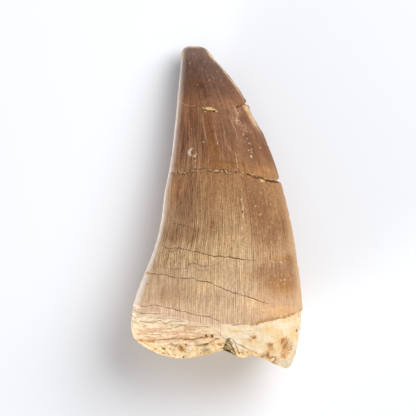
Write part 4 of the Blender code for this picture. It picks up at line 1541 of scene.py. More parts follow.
@dataclass
class Effects:
    """The node groups that several finishes share."""

    lines_around: int = 186
    comb_wander: float = 7.0

    def __post_init__(self) -> None:
        """Builds each group once."""
        self.striation = self.build_striation()
        self.grain = self.build_grain()
        self.line = self.build_line()
        self.spot = self.build_spot()
        self.patch = self.build_patch()
        self.matrix = self.build_matrix()

    def build_striation(self) -> NodeTree:
        """Fine lines that run from the base to the tip, as a dye and a height.

        They crowd less where the crown narrows. Comb is how strong the regular lines are, Fine the uneven
        ones, Dashes the short dark ones and Broad the wide streaks.

        Returns:
            The group.
        """
        s = GroupSheet("lengthwise_striation", {"Straight": "vector", "Crowding": "value", "Comb": "value",
                                                "Fine": "value", "Dashes": "value", "Broad": "value"},
                       {"Dye": "vector", "Height": "value"})
        straight, crowding = s.given["Straight"], s.given["Crowding"]
        parts = s.node("ShaderNodeSeparateXYZ")
        s.feed(parts.inputs[0], straight)
        angle = s.math("ARCTAN2", parts.outputs[1], parts.outputs[0])
        wander = s.noise(s.stretched(straight, (0.8, 0.8, 0.12)), 1.0, 1.0)
        phase = s.math("ADD", s.product(angle, float(self.lines_around)), s.product(wander, self.comb_wander))
        patchy = s.between(s.noise(s.stretched(straight, (0.6, 0.6, 0.2)), 1.0, 3.0), 0.35, 0.6, 0.25)
        beady = s.between(s.noise(s.stretched(straight, (1.6, 1.6, 1.3)), 1.0, 2.0), 0.3, 0.65, 0.35)
        comb = s.product(s.math("SINE", phase), patchy, beady, s.given["Comb"])
        dense = s.noise(s.stretched(straight, (3.4, 3.4, 0.28)), 1.0, 2.0, 0.6)
        sparse = s.noise(s.stretched(straight, (2.0, 2.0, 0.2)), 1.0, 2.0, 0.6)
        mixed = s.math("ADD", s.product(dense, crowding),
                       s.product(sparse, s.math("SUBTRACT", 1.0, crowding)))
        fine = s.product(s.swing(mixed), 2.0, s.given["Fine"])
        dashes = s.noise(s.stretched(straight, (4.2, 4.2, 0.7)), 1.0, 1.0, 0.5)
        dark = s.product(s.between(dashes, 0.54, 0.68), s.given["Dashes"])
        wide = s.noise(s.stretched(straight, (0.9, 0.9, 0.06)), 1.0, 3.0, 0.6)
        broad = s.product(s.swing(wide), s.given["Broad"])
        change = s.math("SUBTRACT", s.math("ADD", s.math("ADD", comb, fine), broad), dark)
        return s.give(Dye=s.warmed(change), Height=change)

    def build_grain(self) -> NodeTree:
        """Mineral grain: a dye, a height, and masks of small bright specks and of a fine net.

        Returns:
            The group.
        """
        s = GroupSheet("mineral_grain", {"Place": "vector", "Size": "value", "Contrast": "value"},
                       {"Dye": "vector", "Height": "value", "Specks": "value", "Net": "value"})
        place = s.given["Place"]
        scale = s.math("DIVIDE", 1.0, s.given["Size"])
        cloudy = s.noise(place, scale, 5.0, 0.62)
        centred = s.swing(cloudy)
        dye = s.warmed(s.product(centred, s.given["Contrast"]))
        dots = s.cells(place, s.product(scale, 0.9))
        picked = s.between(s.noise(place, s.product(scale, 0.5), 2.0), 0.42, 0.58)
        specks = s.product(s.between(dots, 0.32, 0.18), picked)
        cracked = s.cells(place, s.product(scale, 1.3), "DISTANCE_TO_EDGE")
        net = s.product(s.between(cracked, 0.2, 0.06), s.between(cloudy, 0.36, 0.5))
        return s.give(Dye=dye, Height=centred, Specks=specks, Net=net)

    def build_line(self) -> NodeTree:
        """A thin line where a distance is near 0, faded out at its ends and broken up into beads.

        Returns:
            The group.
        """
        s = GroupSheet("thin_line", {"Distance": "value", "Along": "value", "Start": "value", "End": "value",
                                     "Fade In": "value", "Fade Out": "value", "Half Width": "value",
                                     "Strength": "value", "Beaded": "value", "Uneven": "value",
                                     "Gaps": "value", "Facing": "value"}, {"Mask": "value"})
        g = s.given
        away = s.math("DIVIDE", s.math("ABSOLUTE", g["Distance"]), g["Uneven"])
        core = s.between(away, s.product(g["Half Width"], 1.6), s.product(g["Half Width"], 0.3))
        opening = s.between(g["Along"], g["Start"], s.math("ADD", g["Start"], g["Fade In"]))
        closing = s.between(g["Along"], g["End"], s.math("SUBTRACT", g["End"], g["Fade Out"]))
        whole = s.product(core, opening, closing, g["Strength"], g["Facing"])
        missing = s.product(whole, g["Beaded"], g["Gaps"])
        return s.give(Mask=s.math("SUBTRACT", whole, missing))

    def build_spot(self) -> NodeTree:
        """A small round spot, or a crescent where a circle of its size bites into it.

        Returns:
            The group.
        """
        s = GroupSheet("small_spot", {"Across": "value", "Down": "value", "Width": "value",
                                      "Middle Across": "value", "Middle Down": "value", "Radius": "value",
                                      "Length": "value", "Bite": "value", "Strength": "value",
                                      "Wobble": "value"}, {"Mask": "value"})
        g = s.given
        sideways = s.product(s.math("SUBTRACT", g["Across"], g["Middle Across"]), g["Width"])
        along = s.math("DIVIDE", s.math("SUBTRACT", g["Down"], g["Middle Down"]), g["Length"])
        away = s.math("ADD", s.math("DIVIDE", s.distance(sideways, along), g["Radius"]), g["Wobble"])
        bitten = s.math("DIVIDE", s.distance(s.math("SUBTRACT", sideways, g["Bite"]), along), g["Radius"])
        return s.give(Mask=s.product(s.between(away, 1.3, 0.6), s.between(bitten, 0.8, 1.1), g["Strength"]))

    def build_patch(self) -> NodeTree:
        """A soft mask broken up by noise.

        Returns:
            The group.
        """
        s = GroupSheet("ragged_patch", {"Mask": "value", "Place": "vector", "Size": "value",
                                        "Breakup": "value"},
                       {"Mask": "value"})
        cloudy = s.noise(s.given["Place"], s.math("DIVIDE", 1.0, s.given["Size"]), 4.0, 0.6)
        shifted = s.math("ADD", s.given["Mask"], s.product(s.swing(cloudy), s.given["Breakup"]))
        return s.give(Mask=s.product(s.between(shifted, 0.1, 0.8), s.between(s.given["Mask"], 0.02, 0.15)))

    def build_matrix(self) -> NodeTree:
        """Sandy rock that clings to the broken base.

        Returns:
            The group.
        """
        s = GroupSheet("sandy_matrix", {"Place": "vector", "Size": "value"},
                       {"Color": "colour", "Height": "value"})
        scale = s.math("DIVIDE", 1.0, s.given["Size"])
        grains = s.noise(s.given["Place"], scale, 6.0, 0.72)
        colour = s.ramp(grains, ((0.36, seen(96, 74, 46)), (0.46, seen(158, 128, 84)),
                                 (0.54, seen(200, 170, 122)), (0.64, seen(240, 216, 176))))
        pebbles = s.cells(s.given["Place"], s.product(scale, 1.5))
        height = s.math("ADD", grains, s.product(pebbles, -0.4))
        return s.give(Color=colour, Height=height)


class Ground:
    """Where a point is on the tooth, as the sockets that every finish starts from.

    The noises that every line and spot reads take the place in metres straight from its node, so that one
    value less is kept open across them all.
    """

    LIT: Slope = (-0.35, 0.0, 0.25, 1.0)
    FACING_REACH = 0.12
    BEADS_PER_MM = 2.8
    DARK_GAPS: Range = (0.57, 0.48)
    PALE_GAPS: Range = (0.41, 0.5)
    UNEVEN_PER_MM = 0.9
    UNEVEN: Slope = (0.3, 0.68, 0.45, 1.4)
    WOBBLES_PER_MM = 4.0
    WOBBLE = 1.2

    def __init__(self, s: Sheet) -> None:
        """Adds the sockets to a material's sheet.

        Args:
            s: the material's sheet.
        """
        metres = s.node("ShaderNodeTexCoord").outputs["Object"]
        self.place = s.stretched(metres, (1 / MM, 1 / MM, 1 / MM))
        self.straight = s.attribute("straight", "Vector")
        self.across = s.attribute("across")
        self.down = s.attribute("down")
        self.width = s.attribute("width")
        facing = s.attribute("facing_up")
        self.lit = s.between(facing, *self.LIT)
        self.facing = {Face.SHOWN: s.between(facing, 0.0, self.FACING_REACH),
                       Face.BELOW: s.between(facing, 0.0, -self.FACING_REACH), Face.BOTH: 1.0}
        beads = s.noise(metres, self.BEADS_PER_MM / MM, 1.0)
        self.dark_gaps = s.between(beads, *self.DARK_GAPS)
        self.pale_gaps = s.between(beads, *self.PALE_GAPS)
        self.uneven = s.between(s.noise(metres, self.UNEVEN_PER_MM / MM, 3.0), *self.UNEVEN)
        self.wobble = s.product(s.swing(s.noise(metres, self.WOBBLES_PER_MM / MM, 2.0)), self.WOBBLE)

    def inside(self, s: Sheet, area: Area) -> NodeSocket:
        """How far a point is inside an area, from 0 to 1."""
        return s.product(s.between(self.across, *area.across), s.between(self.down, *area.down))


@dataclass(frozen=True)
class Finish:
    """What every finish of the tooth has: gloss, relief and how its lines, spots and stains are drawn."""

    name: str
    roughness: tuple[float, float]
    bump_distance: float
    specular: float
    effects: Effects

    def lines(self, s: Sheet, ground: Ground, lines: tuple[Line, ...],
              gaps: NodeSocket | None = None) -> NodeSocket:
        """Draws several lines.

        Args:
            s: the material's sheet.
            ground: where a point is on the tooth.
            lines: the lines to draw.
            gaps: the mask of the gaps between beads, the dark lines' own if none is given.

        Returns:
            The strongest of the lines at each point, from 0 to 1.
        """
        drawn = 0.0
        gaps = ground.dark_gaps if gaps is None else gaps
        for line in lines:
            start, end = line.ends
            along = ground.across if line.run is Run.CROSSWISE else ground.down
            made = s.group(self.effects.line, Distance=s.attribute(line.attribute), Along=along, Start=start,
                           End=end, Fade_In=line.fade_in * (end - start),
                           Fade_Out=line.fade_out * (end - start), Half_Width=line.half_width,
                           Strength=line.strength, Beaded=line.beaded, Uneven=ground.uneven, Gaps=gaps,
                           Facing=ground.facing[line.face])
            drawn = s.strongest(drawn, made["Mask"])
        return drawn

    def spots(self, s: Sheet, ground: Ground, spots: tuple[Spot, ...]) -> NodeSocket:
        """Draws several spots.

        Args:
            s: the material's sheet.
            ground: where a point is on the tooth.
            spots: the spots to draw.

        Returns:
            The strongest of the spots at each point, from 0 to 1.
        """
        drawn = 0.0
        for spot in spots:
            made = s.group(self.effects.spot, Across=ground.across, Down=ground.down, Width=ground.width,
                           Middle_Across=spot.across, Middle_Down=spot.down, Radius=spot.radius,
                           Length=spot.length_share, Bite=spot.bite, Strength=spot.strength,
                           Wobble=ground.wobble)
            drawn = s.strongest(drawn, made["Mask"])
        return s.product(drawn, ground.facing[Face.SHOWN])

    def patch(self, s: Sheet, tint: Tint, place: object, edge: Ragged) -> NodeSocket:
        """A stain's mask with a ragged edge.

        Args:
            s: the material's sheet.
            tint: the stain's tint.
            place: where a point is, in millimetres.
            edge: how ragged the edge is.

        Returns:
            The mask, from 0 to 1.
        """
        made = s.group(self.effects.patch, Mask=s.attribute(tint.value), Place=place, Size=edge.size,
                       Breakup=edge.breakup)
        return s.product(made["Mask"], edge.share)

    def surface(self, s: Sheet) -> tuple[object, object, object]:
        """The finish's colour, dullness from 0 to 1, and height, which each finish gives in its own way."""
        raise NotImplementedError

    def material(self) -> Material:
        """Builds the finished material.

        Returns:
            The material.
        """
        made = bpy.data.materials.new(self.name)
        made.use_nodes = True
        s = Sheet(made.node_tree)
        shader = made.node_tree.nodes["Principled BSDF"]
        colour, dullness, height = self.surface(s)
        s.feed(shader.inputs["Base Color"], colour)
        s.feed(shader.inputs["Roughness"], s.between(dullness, 0.0, 1.0, *self.roughness))
        shader.inputs["Specular IOR Level"].default_value = self.specular
        bump = s.node("ShaderNodeBump")
        bump.inputs["Strength"].default_value = 1.0
        bump.inputs["Distance"].default_value = self.bump_distance
        s.feed(bump.inputs["Height"], height)
        s.feed(shader.inputs["Normal"], bump.outputs["Normal"])
        return made


@dataclass(frozen=True)
class EnamelFinish(Finish):
    """Striated enamel: dark umber at the tip, brown in the middle and tan towards the base."""

    smoky: Colour = seen(130, 104, 93)
    umber: Colour = seen(113, 86, 74)
    russet: Colour = seen(119, 84, 65)
    chestnut: Colour = seen(145, 102, 74)
    walnut: Colour = seen(139, 97, 70)
    oak: Colour = seen(167, 122, 83)
    tan: Colour = seen(185, 146, 105)
    sand: Colour = seen(200, 166, 127)
    cream: Colour = seen(224, 188, 152)
    umber_dye: Colour = (0.7, 0.6, 0.53, 1.0)
    # Painted shade that darkens the bulging side towards the base, where the key light falls most strongly.
    flank_painted_shade: Colour = (0.88, 0.8, 0.73, 1.0)
    mauve_dye: Colour = (1.0, 1.06, 1.28, 1.0)
    gold_dye: Colour = (1.0, 0.86, 0.52, 1.0)
    light_dye: Colour = (1.2, 1.18, 1.08, 1.0)
    chalk: Colour = seen(244, 228, 206)
    honey: Colour = seen(228, 192, 130)
    peach: Colour = seen(226, 186, 142)
    frost: Colour = seen(196, 182, 174)
    # The hollow edge's pale band: partly worn enamel, partly a painted rim highlight.
    worn_rim_and_highlight: Colour = seen(254, 240, 226)
    rust: Colour = seen(196, 144, 88)
    crack: Colour = seen(78, 52, 36)
    length: float = 56.0
    band_wander: float = 3.5
    drift_scale: Scale = (0.35, 0.35, 0.09)
    stain_scale: Scale = (1.0, 1.0, 0.3)
    stain_edge: Ragged = Ragged(1.2, 0.9)
    gold_edge: Ragged = Ragged(1.2, 0.9, 0.9)
    pale_edge: Ragged = Ragged(0.5, 0.5, 0.95)
    # Where the painted shade lies: the bulging side, from about halfway down to the base.
    flank: Area = Area((0.6, 0.84), (22.0, 30.0))
    mauve: Area = Area((0.38, 0.2), (12.0, 18.0))
    mauve_end: Range = (36.0, 28.0)
    # The hollow edge's pale band, worn enamel and painted rim highlight: a sharp band, a soft band, and a
    # wider one towards the base.
    sharp_rim: Slope = (0.45, 0.0, 0.0, 0.5)
    soft_rim: Slope = (1.2, 0.0, 0.0, 0.42)
    base_rim_inner: float = 0.1
    base_rim_down: Range = (22.0, 31.0)
    base_rim_share: float = 0.8
    bulge: Area = Area((0.95, 1.0), (20.0, 30.0))
    bulge_share: float = 0.5
    bold: Area = Area((0.42, 0.22), (42.0, 36.0))
    bold_gain: float = 0.7
    calm: Area = Area((0.66, 0.8), (37.0, 42.0))
    calm_loss: float = 0.45
    calm_base: Slope = (39.0, 43.0, 1.0, 0.85)
    speckle_scale: Scale = (1.0, 0.75, 1.0)
    net_share: float = 0.7
    streak_share: float = 0.9
    frost_end: Range = (8.0, 11.0)
    dulling: Slope = (4.0, 30.0, 0.3, 0.75)
    dust_height: float = 0.6
    crack_depth: float = 1.4

    def bands(self, s: Sheet, down: object) -> NodeSocket:
        """Colours that follow one another from the tip to the base.

        Args:
            s: the material's sheet.
            down: the distance from the tip, in millimetres.

        Returns:
            The colour.
        """
        stops = ((0.8, self.smoky), (3.2, self.umber), (7.5, self.russet), (9.9, self.chestnut),
                 (15.5, self.walnut), (23.0, self.oak), (31.0, self.tan), (37.0, self.sand),
                 (46.0, self.cream))
        return s.ramp(s.math("DIVIDE", down, self.length),
                      tuple((at / self.length, colour) for at, colour in stops))

    def stained(self, s: Sheet, ground: Ground) -> NodeSocket:
        """The bands with their broad stains, and painted shade on the bulging side towards the base.

        Args:
            s: the material's sheet.
            ground: where a point is on the tooth.

        Returns:
            The colour.
        """
        drift = s.swing(s.noise(s.stretched(ground.straight, self.drift_scale), 1.0, 4.0, 0.65))
        colour = self.bands(s, s.math("ADD", ground.down, s.product(drift, self.band_wander)))
        long = s.stretched(ground.straight, self.stain_scale)
        dyes = ((Tint.LIGHT, self.light_dye, self.stain_edge), (Tint.UMBER, self.umber_dye, self.stain_edge),
                (Tint.GOLD, self.gold_dye, self.gold_edge))
        for tint, dye, edge in dyes:
            colour = s.mix(self.patch(s, tint, long, edge), colour, dye, "MULTIPLY")
        # Painted shade: darkens the bulging side towards the base to cancel the extra light the key throws on
        # it.
        colour = s.mix(ground.inside(s, self.flank), colour, self.flank_painted_shade, "MULTIPLY")
        hollow_side = s.product(ground.inside(s, self.mauve), s.between(ground.down, *self.mauve_end))
        return s.mix(hollow_side, colour, self.mauve_dye, "MULTIPLY")

    def worn_and_highlit_edges(self, s: Sheet, ground: Ground, colour: object) -> NodeSocket:
        """The colour with pale cutting edges laid over it: worn enamel and a painted rim highlight at the
        hollow edge.

        Args:
            s: the material's sheet.
            ground: where a point is on the tooth.
            colour: the colour under them.

        Returns:
            The colour with the edges.
        """
        below_tip = s.between(ground.down, 2.0, 16.0, 0.75, 1.0)
        inwards = s.product(ground.across, ground.width)
        rim = s.math("ADD", s.between(inwards, *self.sharp_rim), s.between(inwards, *self.soft_rim))
        reach = s.between(ground.down, 30.0, 44.0, 0.8, 1.6)
        by_base = s.product(s.between(inwards, reach, self.base_rim_inner),
                            s.between(ground.down, *self.base_rim_down), self.base_rim_share)
        # Painted highlight: the hollow edge's pale band is partly worn enamel and partly a painted rim
        # highlight, stronger where the surface faces up.
        hollow_edge = s.product(s.strongest(s.product(rim, below_tip), by_base), ground.lit)
        colour = s.mix(hollow_edge, colour, self.worn_rim_and_highlight)
        bulging_edge = s.product(ground.inside(s, self.bulge), self.bulge_share)
        colour = s.mix(bulging_edge, colour, self.peach)
        return s.mix(self.patch(s, Tint.PALE, ground.place, self.pale_edge), colour, self.peach)

    def surface(self, s: Sheet) -> tuple[object, object, object]:
        """Mixes the striated enamel.

        Args:
            s: the material's sheet.

        Returns:
            The colour, the dullness from 0 to 1, and the height.
        """
        ground = Ground(s)
        colour = self.stained(s, ground)
        left = s.product(ground.inside(s, self.bold), self.bold_gain)
        right = s.product(ground.inside(s, self.calm), self.calm_loss)
        bolder = s.math("ADD", s.math("SUBTRACT", left, right), s.between(ground.down, *self.calm_base))
        lines = s.group(self.effects.striation, Straight=ground.straight,
                        Crowding=s.between(ground.down, 20.0, 34.0),
                        Comb=s.product(s.between(ground.down, 8.0, 31.0, 0.08, 0.28), bolder),
                        Fine=s.product(s.between(ground.down, 6.0, 13.0, 0.46, 0.68), bolder),
                        Dashes=s.product(s.between(ground.down, 8.0, 20.0, 0.08, 0.24), bolder),
                        Broad=s.product(s.between(ground.down, 26.0, 40.0, 0.45, 0.35), bolder))
        grain = s.group(self.effects.grain, Place=ground.place, Size=1.0,
                        Contrast=s.between(ground.down, 36.0, 42.0, 0.5, 0.34))
        dust = s.group(self.effects.grain, Place=ground.place, Size=0.34,
                       Contrast=s.between(ground.down, 36.0, 42.0, 1.4, 0.95))
        coarse = s.group(self.effects.grain, Place=s.stretched(ground.place, self.speckle_scale),
                         Size=0.62, Contrast=0.0)
        colour = s.dyed(colour, lines["Dye"], grain["Dye"], dust["Dye"])
        colour = self.worn_and_highlit_edges(s, ground, colour)
        speckled = s.strongest(s.product(coarse["Specks"], s.attribute(Tint.SPECKLE.value)),
                               s.product(coarse["Net"], s.attribute(Tint.NET.value),
                                         self.net_share))
        streaks = s.product(self.lines(s, ground, PALE_STREAKS, ground.pale_gaps), self.streak_share)
        pale = s.mix(s.between(ground.down, *self.frost_end), self.frost, self.peach)
        colour = s.mix(s.strongest(speckled, streaks), colour, pale)
        colour = s.mix(self.lines(s, ground, RUST_LINES), colour, self.rust)
        golden = self.spots(s, ground, ENAMEL_SPOTS[Mark.GOLDEN])
        colour = s.mix(golden, colour, self.honey)
        # Chalky specks, and on the chip by the hollow edge a crescent that is partly a painted highlight.
        chalk = self.spots(s, ground, ENAMEL_SPOTS[Mark.CHALK])
        colour = s.mix(chalk, colour, self.chalk)
        dark = s.strongest(self.lines(s, ground, (*ENAMEL_CRACKS, ENAMEL_SEAM)),
                           self.spots(s, ground, ENAMEL_SPOTS[Mark.HOLE]))
        colour = s.mix(dark, colour, self.crack)
        dullness = s.math("ADD", grain["Height"], s.between(ground.down, *self.dulling))
        height = s.math("ADD", lines["Height"], s.product(dust["Height"], self.dust_height))
        return colour, dullness, s.math("SUBTRACT", height, s.product(dark, self.crack_depth))


@dataclass(frozen=True)
class DentineFinish(Finish):
    """Bare dentine at the base: cream and layered, with rusty stains and a film of enamel by the seam."""

    cream: Colour = seen(253, 231, 196)
    yellow: Colour = seen(247, 210, 152)
    pink: Colour = seen(242, 199, 157)
    film: Colour = seen(228, 192, 158)
    rust: Colour = seen(226, 172, 116)
    rust_core: Colour = seen(190, 130, 78)
    crack: Colour = seen(150, 98, 54)
    hole: Colour = seen(92, 54, 26)
    layer_scale: Scale = (0.3, 0.3, 2.4)
    blotches_per_mm: float = 0.4
    yellow_patch: Range = (0.42, 0.62)
    pink_layer: Range = (0.36, 0.58)
    gold_edge: Ragged = Ragged(0.8, 0.6, 0.9)
    rust_edge: Ragged = Ragged(0.35, 1.5, 0.9)
    hair_rise: Range = (0.5, 0.545)
    hair_fall: Range = (0.6, 0.555)
    hair_share: float = 0.4
    film_wander: float = 2.0
    film_end: Range = (2.0, 0.9)
    film_across: Range = (0.56, 0.5)
    film_edge: Range = (0.4, 1.7)
    rust_scale: Scale = (1.4, 0.9, 1.4)
    rust_middle: Range = (0.46, 0.58)
    matrix_height: float = 2.0
    grain_height: float = 1.2
    layer_height: float = 0.6
    blotch_dulling: float = 0.5
    least_dullness: float = 0.2

    def surface(self, s: Sheet) -> tuple[object, object, object]:
        """Mixes the bare dentine.

        Args:
            s: the material's sheet.

        Returns:
            The colour, the dullness from 0 to 1, and the height.
        """
        ground = Ground(s)
        layered = s.noise(s.stretched(ground.straight, self.layer_scale), 1.0, 4.0, 0.6, 0.4)
        blotchy = s.noise(ground.place, self.blotches_per_mm, 4.0, 0.6)
        left = s.between(ground.across, 0.58, 0.46)
        yellow_share = s.between(ground.across, 0.45, 0.95, 0.15, 0.9)
        colour = s.mix(s.product(s.between(blotchy, *self.yellow_patch), yellow_share), self.cream,
                       self.yellow)
        low = s.between(ground.down, 48.2, 49.4, 0.3, 1.0)
        colour = s.mix(s.product(left, s.between(layered, *self.pink_layer), low), colour, self.pink)
        colour = s.mix(self.patch(s, Tint.GOLD, ground.place, self.gold_edge), colour, self.yellow)
        hair = s.product(s.between(layered, *self.hair_rise), s.between(layered, *self.hair_fall), left)
        colour = s.mix(s.product(hair, self.hair_share), colour, self.crack)
        grain = s.group(self.effects.grain, Place=ground.place, Size=0.8, Contrast=0.25)
        dust = s.group(self.effects.grain, Place=ground.place, Size=0.3, Contrast=0.3)
        past = s.math("ADD", s.attribute(ENAMEL_SEAM.attribute),
                      s.product(s.swing(blotchy), self.film_wander))
        inwards = s.product(ground.across, ground.width)
        film = s.product(s.between(past, *self.film_end), s.between(ground.across, *self.film_across),
                         s.between(inwards, *self.film_edge))
        lines = s.group(self.effects.striation, Straight=ground.straight, Crowding=1.0, Comb=0.3, Fine=0.5,
                        Dashes=0.2, Broad=0.2)
        colour = s.mix(film, colour, s.dyed(self.film[:3], lines["Dye"]))
        colour = s.dyed(colour, grain["Dye"], dust["Dye"])
        stained = s.strongest(self.patch(s, Tint.RUST, ground.place, self.rust_edge),
                              self.lines(s, ground, RUST_LINES))
        colour = s.mix(stained, colour, self.rust)
        cloudy = s.noise(s.stretched(ground.place, self.rust_scale), 1.0, 3.0)
        core = s.product(stained, s.between(cloudy, *self.rust_middle))
        colour = s.mix(core, colour, self.rust_core)
        matrix = s.group(self.effects.matrix, Place=ground.place, Size=0.9)
        notch = s.attribute("notch")
        colour = s.mix(notch, colour, matrix["Color"])
        cracks = self.lines(s, ground, DENTINE_CRACKS + SLOPE_CRACKS)
        colour = s.mix(cracks, colour, self.crack)
        colour = s.mix(self.spots(s, ground, DENTINE_SPOTS[Mark.HOLE]), colour, self.hole)
        height = s.math("ADD", s.product(grain["Height"], self.grain_height),
                        s.product(layered, self.layer_height))
        height = s.math("ADD", height, s.product(matrix["Height"], notch, self.matrix_height))
        dullness = s.math("ADD", s.product(blotchy, self.blotch_dulling), self.least_dullness)
        return colour, dullness, s.math("SUBTRACT", height, cracks)


@dataclass(frozen=True)
class BrokenFinish(Finish):
    """The broken base: crumbly ochre dentine round a plug of sandy rock, with painted light over its shaded
    ledges and corner.
    """

    light: Colour = seen(255, 231, 190)
    ochre: Colour = seen(250, 205, 143)
    deep: Colour = seen(202, 142, 82)
    rust: Colour = seen(206, 142, 78)
    # Brighter than white: painted light that lifts the shade on the broken base's corner at the bulging edge.
    corner: Colour = seen(268, 244, 208)
    # The ledges' own cream, set brighter than white so that it also paints light over the shade they lie in.
    ledge: Colour = seen(262, 228, 188)
    crack: Colour = seen(146, 88, 40)
    chalk: Colour = seen(246, 232, 206)
    crumbs_per_mm: float = 1.6
    deep_to_light: Scale = (0.32, 0.43, 0.56)
    ledge_reach: float = 0.2
    ledge_across: Range = (0.12, 0.2)
    ledge_share: float = 0.8
    left_edge: Area = Area((0.06, 0.02), (53.0, 51.6))
    painted_light_corner: Area = Area((0.84, 0.91), (53.4, 54.4))
    corner_light_share: float = 0.9
    rust_edge: Ragged = Ragged(0.6, 0.9, 0.7)
    core_lobes_per_mm: float = 0.35
    core_ragged: float = 0.3
    core_out: Range = (0.56, 0.46)
    crumb_height: float = 2.2
    least_dullness: float = 0.2

    def surface(self, s: Sheet) -> tuple[object, object, object]:
        """Mixes the broken base.

        Args:
            s: the material's sheet.

        Returns:
            The colour, the dullness from 0 to 1, and the height.
        """
        ground = Ground(s)
        crumbs = s.noise(ground.place, self.crumbs_per_mm, 5.0, 0.7)
        colour = s.ramp(crumbs, tuple(zip(self.deep_to_light, (self.deep, self.ochre, self.light))))
        # The ledges and the top of the hollow edge take the ledge colour: their own cream plus painted light
        # over their shade.
        on_ledge = s.product(s.between(s.attribute("line_brow_gap"), 0.0, self.ledge_reach),
                             s.between(ground.across, *self.ledge_across),
                             s.between(s.attribute("line_ledge_gap"), 0.0, -self.ledge_reach))
        cream_and_painted_light = s.strongest(on_ledge, ground.inside(s, self.left_edge))
        colour = s.mix(s.product(cream_and_painted_light, self.ledge_share), colour, self.ledge)
        # Painted light: the corner at the bulging edge, which lies in shade, is lifted towards a
        # brighter-than-white cream.
        corner_painted_light = s.product(ground.inside(s, self.painted_light_corner), self.corner_light_share)
        colour = s.mix(corner_painted_light, colour, self.corner)
        grain = s.group(self.effects.grain, Place=ground.place, Size=0.4, Contrast=0.45)
        colour = s.dyed(colour, grain["Dye"])
        colour = s.mix(self.patch(s, Tint.RUST, ground.place, self.rust_edge), colour, self.deep)
        colour = s.mix(self.lines(s, ground, RUST_LINES), colour, self.rust)
        colour = s.mix(self.spots(s, ground, SLOPE_SPOTS[Mark.CHALK]), colour, self.chalk)
        matrix = s.group(self.effects.matrix, Place=ground.place, Size=1.2)
        lobes = s.noise(ground.place, self.core_lobes_per_mm, 3.0)
        ragged = s.math("ADD", s.attribute("face_out"), s.product(lobes, self.core_ragged))
        core = s.between(ragged, *self.core_out)
        sandy = s.strongest(core, s.attribute("notch"))
        colour = s.mix(sandy, colour, matrix["Color"])
        cracks = s.strongest(self.lines(s, ground, SLOPE_CRACKS),
                             self.spots(s, ground, SLOPE_SPOTS[Mark.HOLE]))
        colour = s.mix(cracks, colour, self.crack)
        height = s.math("ADD", s.product(crumbs, self.crumb_height), s.product(matrix["Height"], sandy))
        return colour, s.math("ADD", crumbs, self.least_dullness), s.math("SUBTRACT", height, cracks)


@dataclass
class FossilTooth:
    """The tooth, dressed and set on its body."""

    name: str = "tooth_crown"
    node: str = "tooth"
    slot: str = "tooth_enamel"
    mesh: ToothMesh = field(default_factory=ToothMesh)

    def finishes(self) -> list[Material]:
        """The three materials, in the order of Layer."""
        effects = Effects()
        enamel = EnamelFinish("fossil_enamel", roughness=(0.45, 0.65), bump_distance=0.06 * MM,
                              specular=0.22, effects=effects)
        dentine = DentineFinish("bare_dentine", roughness=(0.55, 0.85), bump_distance=0.12 * MM,
                                specular=0.3, effects=effects)
        broken = BrokenFinish("broken_base", roughness=(0.7, 0.95), bump_distance=0.13 * MM,
                              specular=0.25, effects=effects)
        return [finish.material() for finish in (enamel, dentine, broken)]

    def build(self) -> Object:
        """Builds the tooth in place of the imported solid.

        Returns:
            The piece.
        """
        piece = self.mesh.build(self.name, self.finishes())
        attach(piece, "root")
        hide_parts(self.node)
        return piece


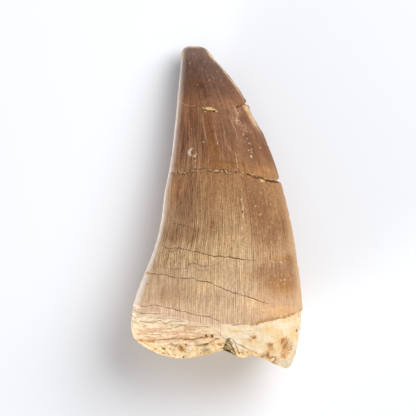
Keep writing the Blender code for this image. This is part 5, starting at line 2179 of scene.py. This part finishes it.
@dataclass
class Studio:
    """A pale table, soft light and a camera that looks straight down, in metres."""

    camera_height: float = 0.7
    camera_place: tuple[float, float] = (-0.00155, -0.0003)
    picture_width: float = 0.07224
    focus_height: float = 0.009
    sensor: float = 36.0
    floor_size: float = 3.0
    floor_colour: Colour = (0.802, 0.81, 0.834, 1.0)
    world_colour: Colour = (0.93, 0.96, 1.0, 1.0)
    world_strength: float = 0.4

    def build_camera(self) -> Object:
        """The camera, with a long lens so that it sees the tooth as the photograph does.

        Returns:
            The camera.
        """
        lens = bpy.data.cameras.new("overhead_camera")
        lens.sensor_width = self.sensor
        lens.lens = self.sensor * (self.camera_height - self.focus_height) / self.picture_width
        lens.clip_start, lens.clip_end = 0.01, 20.0
        camera = bpy.data.objects.new("overhead_camera", lens)
        camera.location = (*self.camera_place, self.camera_height)
        bpy.context.scene.collection.objects.link(camera)
        bpy.context.scene.camera = camera
        return camera

    def build_floor(self) -> Object:
        """The pale table that the tooth lies on.

        Returns:
            The table.
        """
        half = self.floor_size / 2
        mesh = bpy.data.meshes.new("table")
        mesh.from_pydata([(-half, -half, 0), (half, -half, 0), (half, half, 0), (-half, half, 0)], [],
                         [(0, 1, 2, 3)])
        material = bpy.data.materials.new("table_white")
        material.use_nodes = True
        surface = material.node_tree.nodes["Principled BSDF"]
        surface.inputs["Base Color"].default_value = self.floor_colour
        surface.inputs["Roughness"].default_value = 0.9
        surface.inputs["Specular IOR Level"].default_value = 0.1
        mesh.materials.append(material)
        floor = bpy.data.objects.new("table", mesh)
        bpy.context.scene.collection.objects.link(floor)
        return floor

    def build_light(self, name: str, place: tuple[float, float, float], size: float, power: float) -> None:
        """A square soft light that points at the tooth.

        Args:
            name: the light's name.
            place: where it hangs.
            size: the length of its sides.
            power: its power in watts.
        """
        light = bpy.data.lights.new(name, "AREA")
        light.shape, light.size, light.energy = "SQUARE", size, power
        lamp = bpy.data.objects.new(name, light)
        lamp.location = place
        lamp.visible_camera = False
        lamp.rotation_euler = (-Vector(place)).to_track_quat("-Z", "Y").to_euler()
        bpy.context.scene.collection.objects.link(lamp)

    def build(self) -> None:
        """Builds everything round the tooth."""
        self.build_camera()
        self.build_floor()
        self.build_light("key", (0.36, 0.28, 0.48), 0.5, 5.1)
        self.build_light("low_fill", (-0.46, -0.42, 0.045), 0.22, 6.0)
        world = bpy.data.worlds.new("soft_white")
        world.use_nodes = True
        background = world.node_tree.nodes["Background"]
        background.inputs["Color"].default_value = self.world_colour
        background.inputs["Strength"].default_value = self.world_strength
        bpy.context.scene.world = world
        bpy.context.scene.view_settings.view_transform = "Standard"


def main() -> None:
    """Builds the studio and the tooth."""
    logging.basicConfig(level=logging.INFO, format="%(message)s")
    Studio().build()
    LOG.info("studio: table, camera and lights")
    piece = FossilTooth().build()
    LOG.info("%s: %d triangles", piece.name, sum(len(face.vertices) - 2 for face in piece.data.polygons))


if __name__ == "__main__":
    main()
